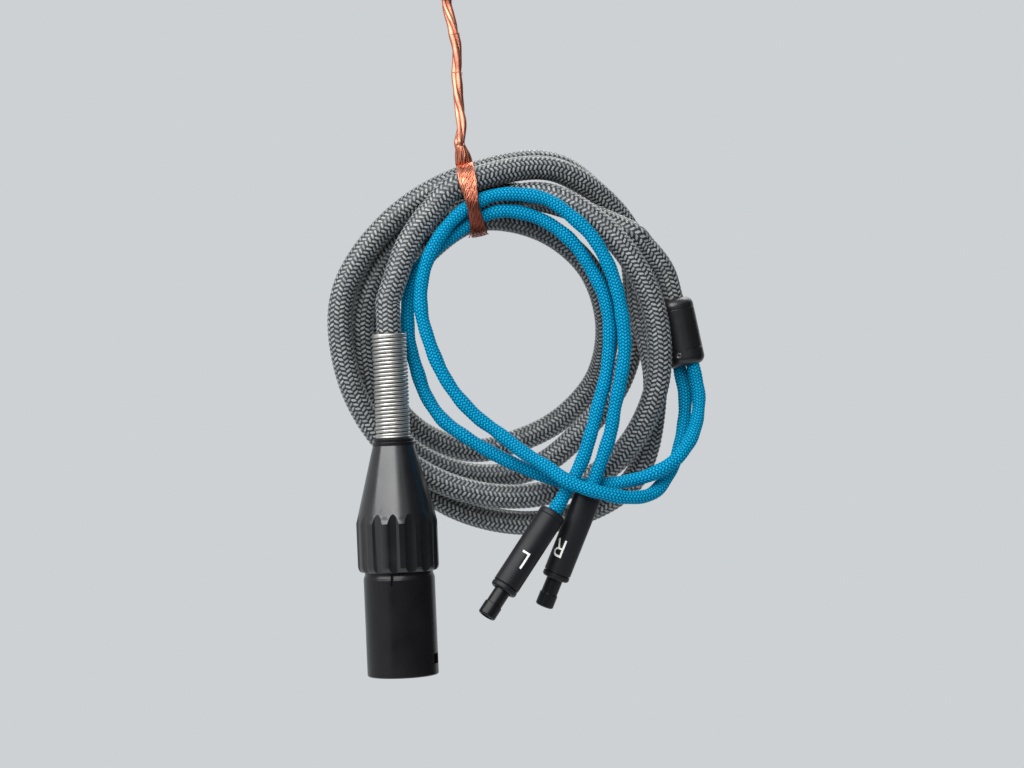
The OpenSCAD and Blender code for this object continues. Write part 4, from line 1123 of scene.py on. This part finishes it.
class HANK_OT_marks(bpy.types.Operator):
    """Paints the channel letters on the headphone plugs' barrels"""
    bl_idname = "hank.marks"
    bl_label = "Channel marks"

    def execute(self, context):
        # Each letter's strokes, across and along the barrel, with its place and its turn round it
        left = [self.line((-0.83, 2.35), (-0.83, -2.3)), self.line((-1.1, -2.08), (1.1, -2.08))]
        self.paint("left", left, 15.7, 0.3)
        bend = np.radians(np.linspace(90, -90, 17))
        bowl = np.column_stack([0.15 + 1.02 * np.cos(bend), 1.13 + 1.02 * np.sin(bend)])
        right = [self.line((-1.0, 2.42), (-1.0, -2.42)),
                 np.vstack([self.line((-1.1, 2.15), (0.1, 2.15)), bowl,
                            self.line((0.1, 0.11), (-1.1, 0.11))]),
                 self.line((0.1, 0.2), (1.2, -2.42))]
        self.paint("right", right, 16.7, 2.07)
        return {"FINISHED"}

    def line(self, start, end):
        """A straight stroke in short steps, so that it can follow the barrel."""
        return np.linspace(start, end, 24)

    def paint(self, name, strokes, along, shift):
        """Lays each stroke round the barrel as a thin film, with its top towards the nose."""
        at, lean, swing = HEADPHONE_PLUGS[name]
        axis = down_axis(lean, swing)
        front = unit(square_to(np.array([0.0, -1.0, 0.0]), axis))
        right = np.cross(axis, front)
        tubes = []
        for path in strokes:
            heading = unit(np.gradient(path, axis=0))
            edge = MARK_STROKE / 2 * np.column_stack([-heading[:, 1], heading[:, 0]])
            corners = []
            for side, lift in ((-1, -MARK_DEPTH), (-1, MARK_LIFT), (1, MARK_LIFT), (1, -MARK_DEPTH)):
                spot = path + side * edge
                turn = (spot[:, 0] + shift) / (BARREL_D / 2)
                spoke = np.cos(turn)[:, None] * front + np.sin(turn)[:, None] * right
                corners.append(np.array(at) + (along + spot[:, 1:]) * axis
                               + (BARREL_D / 2 + lift) * spoke)
            points = np.stack(corners, axis=1).reshape(-1, 3)
            tubes.append((points, len(path), len(corners)))
        mark = joined_tubes(name + "_mark", tubes)
        select_only(mark)
        bpy.ops.object.shade_flat()
        coat(mark, "paint")
        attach(mark, "root")


class HANK_OT_stage(bpy.types.Operator):
    """Adds the pale floor, the soft lamps and the plain surroundings"""
    bl_idname = "hank.stage"
    bl_label = "Stage"

    def execute(self, context):
        self.floor()
        self.surroundings(context.scene)
        for lamp in LAMPS:
            self.lamp(context.scene, *lamp)
        for card in CARDS:
            self.card(*card)
        context.scene.view_settings.view_transform = "Standard"
        return {"FINISHED"}

    def floor(self):
        """A pale disc well below the hank, which fades out towards its rim."""
        bpy.ops.object.select_all(action="DESELECT")
        bpy.ops.mesh.primitive_circle_add(vertices=96, radius=FLOOR_R * MM, fill_type="NGON",
                                          location=Vector(FLOOR_AT) * MM)
        thing = bpy.context.object
        thing.name = "floor"
        finish, add, shader = new_material("Pale matt floor")
        place = add("ShaderNodeTexCoord", output="Object")
        away = add("ShaderNodeVectorMath", [place], output=1, operation="LENGTH")
        near, far = FLOOR_FADE
        fade = add(RANGE, [away, near * MM, far * MM, 1.0, 0.0], interpolation_type="SMOOTHSTEP")
        set_inputs(shader, {"Base Color": srgb("#c3c7ca"), "Roughness": 0.9, "Alpha": fade})
        thing.data.materials.append(finish)

    def card(self, name, at, turn, size):
        """A dark card beside the set, which shows in reflections only."""
        bpy.ops.object.select_all(action="DESELECT")
        bpy.ops.mesh.primitive_plane_add(size=1, location=Vector(at) * MM,
                                         rotation=[math.radians(t) for t in turn])
        thing = bpy.context.object
        thing.name = name
        thing.scale = (size[0] * MM, size[1] * MM, 1)
        thing.visible_camera = False
        thing.visible_diffuse = False
        thing.visible_shadow = False
        finish, _, shader = new_material("Dark studio card")
        set_inputs(shader, {"Base Color": srgb("#28282a"), "Roughness": 0.9})
        thing.data.materials.append(finish)

    def surroundings(self, scene):
        """An even pale grey, which lights the hank less than it shows."""
        world = bpy.data.worlds.new("Studio")
        world.use_nodes = True
        scene.world = world
        add = partial(add_node, world.node_tree)
        rays = add("ShaderNodeLightPath").node.outputs
        mirrored = add(MATH, [rays["Is Glossy Ray"], rays["Is Transmission Ray"]],
                       operation="MAXIMUM")
        seen = add(MATH, [rays["Is Camera Ray"], mirrored], operation="MAXIMUM")
        strength = add(MATH, [seen, AIR_SHOWN, AIR_LIT], operation="MULTIPLY_ADD")
        set_inputs(world.node_tree.nodes["Background"],
                   {"Color": srgb("#cdd1d4"), "Strength": strength})

    def lamp(self, scene, name, at, width, height, power, mirrored):
        """A soft box that is aimed at the hank's lower half."""
        data = bpy.data.lights.new(name, "AREA")
        data.shape = "RECTANGLE"
        data.size = width * MM
        data.size_y = height * MM
        data.energy = power
        lamp = bpy.data.objects.new(name, data)
        lamp.location = Vector(at) * MM
        lamp.visible_glossy = mirrored
        aim = Vector(LAMP_AIM) * MM - lamp.location
        lamp.rotation_euler = aim.to_track_quat("-Z", "Y").to_euler()
        scene.collection.objects.link(lamp)


class HANK_PT_panel(bpy.types.Panel):
    """Lists the hank's sizes, colours and pieces"""
    bl_idname = "HANK_PT_panel"
    bl_label = "Cable Hank"
    bl_space_type = "VIEW_3D"
    bl_region_type = "UI"
    bl_category = "Cable Hank"

    def draw(self, context):
        for group in (context.scene.hank_sizes, context.scene.hank_colours):
            box = self.layout.box()
            for field in group.__annotations__:
                box.prop(group, field)
        for operator in OPERATORS:
            self.layout.operator(operator.bl_idname)


OPERATORS = (HANK_OT_camera, HANK_OT_main_cable, HANK_OT_leads, HANK_OT_hanger, HANK_OT_tie,
             HANK_OT_xlr_plug, HANK_OT_splitter, HANK_OT_headphone_plugs, HANK_OT_marks,
             HANK_OT_stage)
CLASSES = (HankSizes, HankColours, HANK_PT_panel) + OPERATORS


def register():
    for cls in CLASSES:
        bpy.utils.register_class(cls)
    bpy.types.Scene.hank_sizes = bpy.props.PointerProperty(type=HankSizes)
    bpy.types.Scene.hank_colours = bpy.props.PointerProperty(type=HankColours)


def unregister():
    del bpy.types.Scene.hank_colours
    del bpy.types.Scene.hank_sizes
    for cls in reversed(CLASSES):
        bpy.utils.unregister_class(cls)


def main():
    register()
    for operator in OPERATORS:
        group, name = operator.bl_idname.split(".")
        getattr(getattr(bpy.ops, group), name)()
    bpy.context.view_layer.update()


if __name__ == "__main__":
    main()
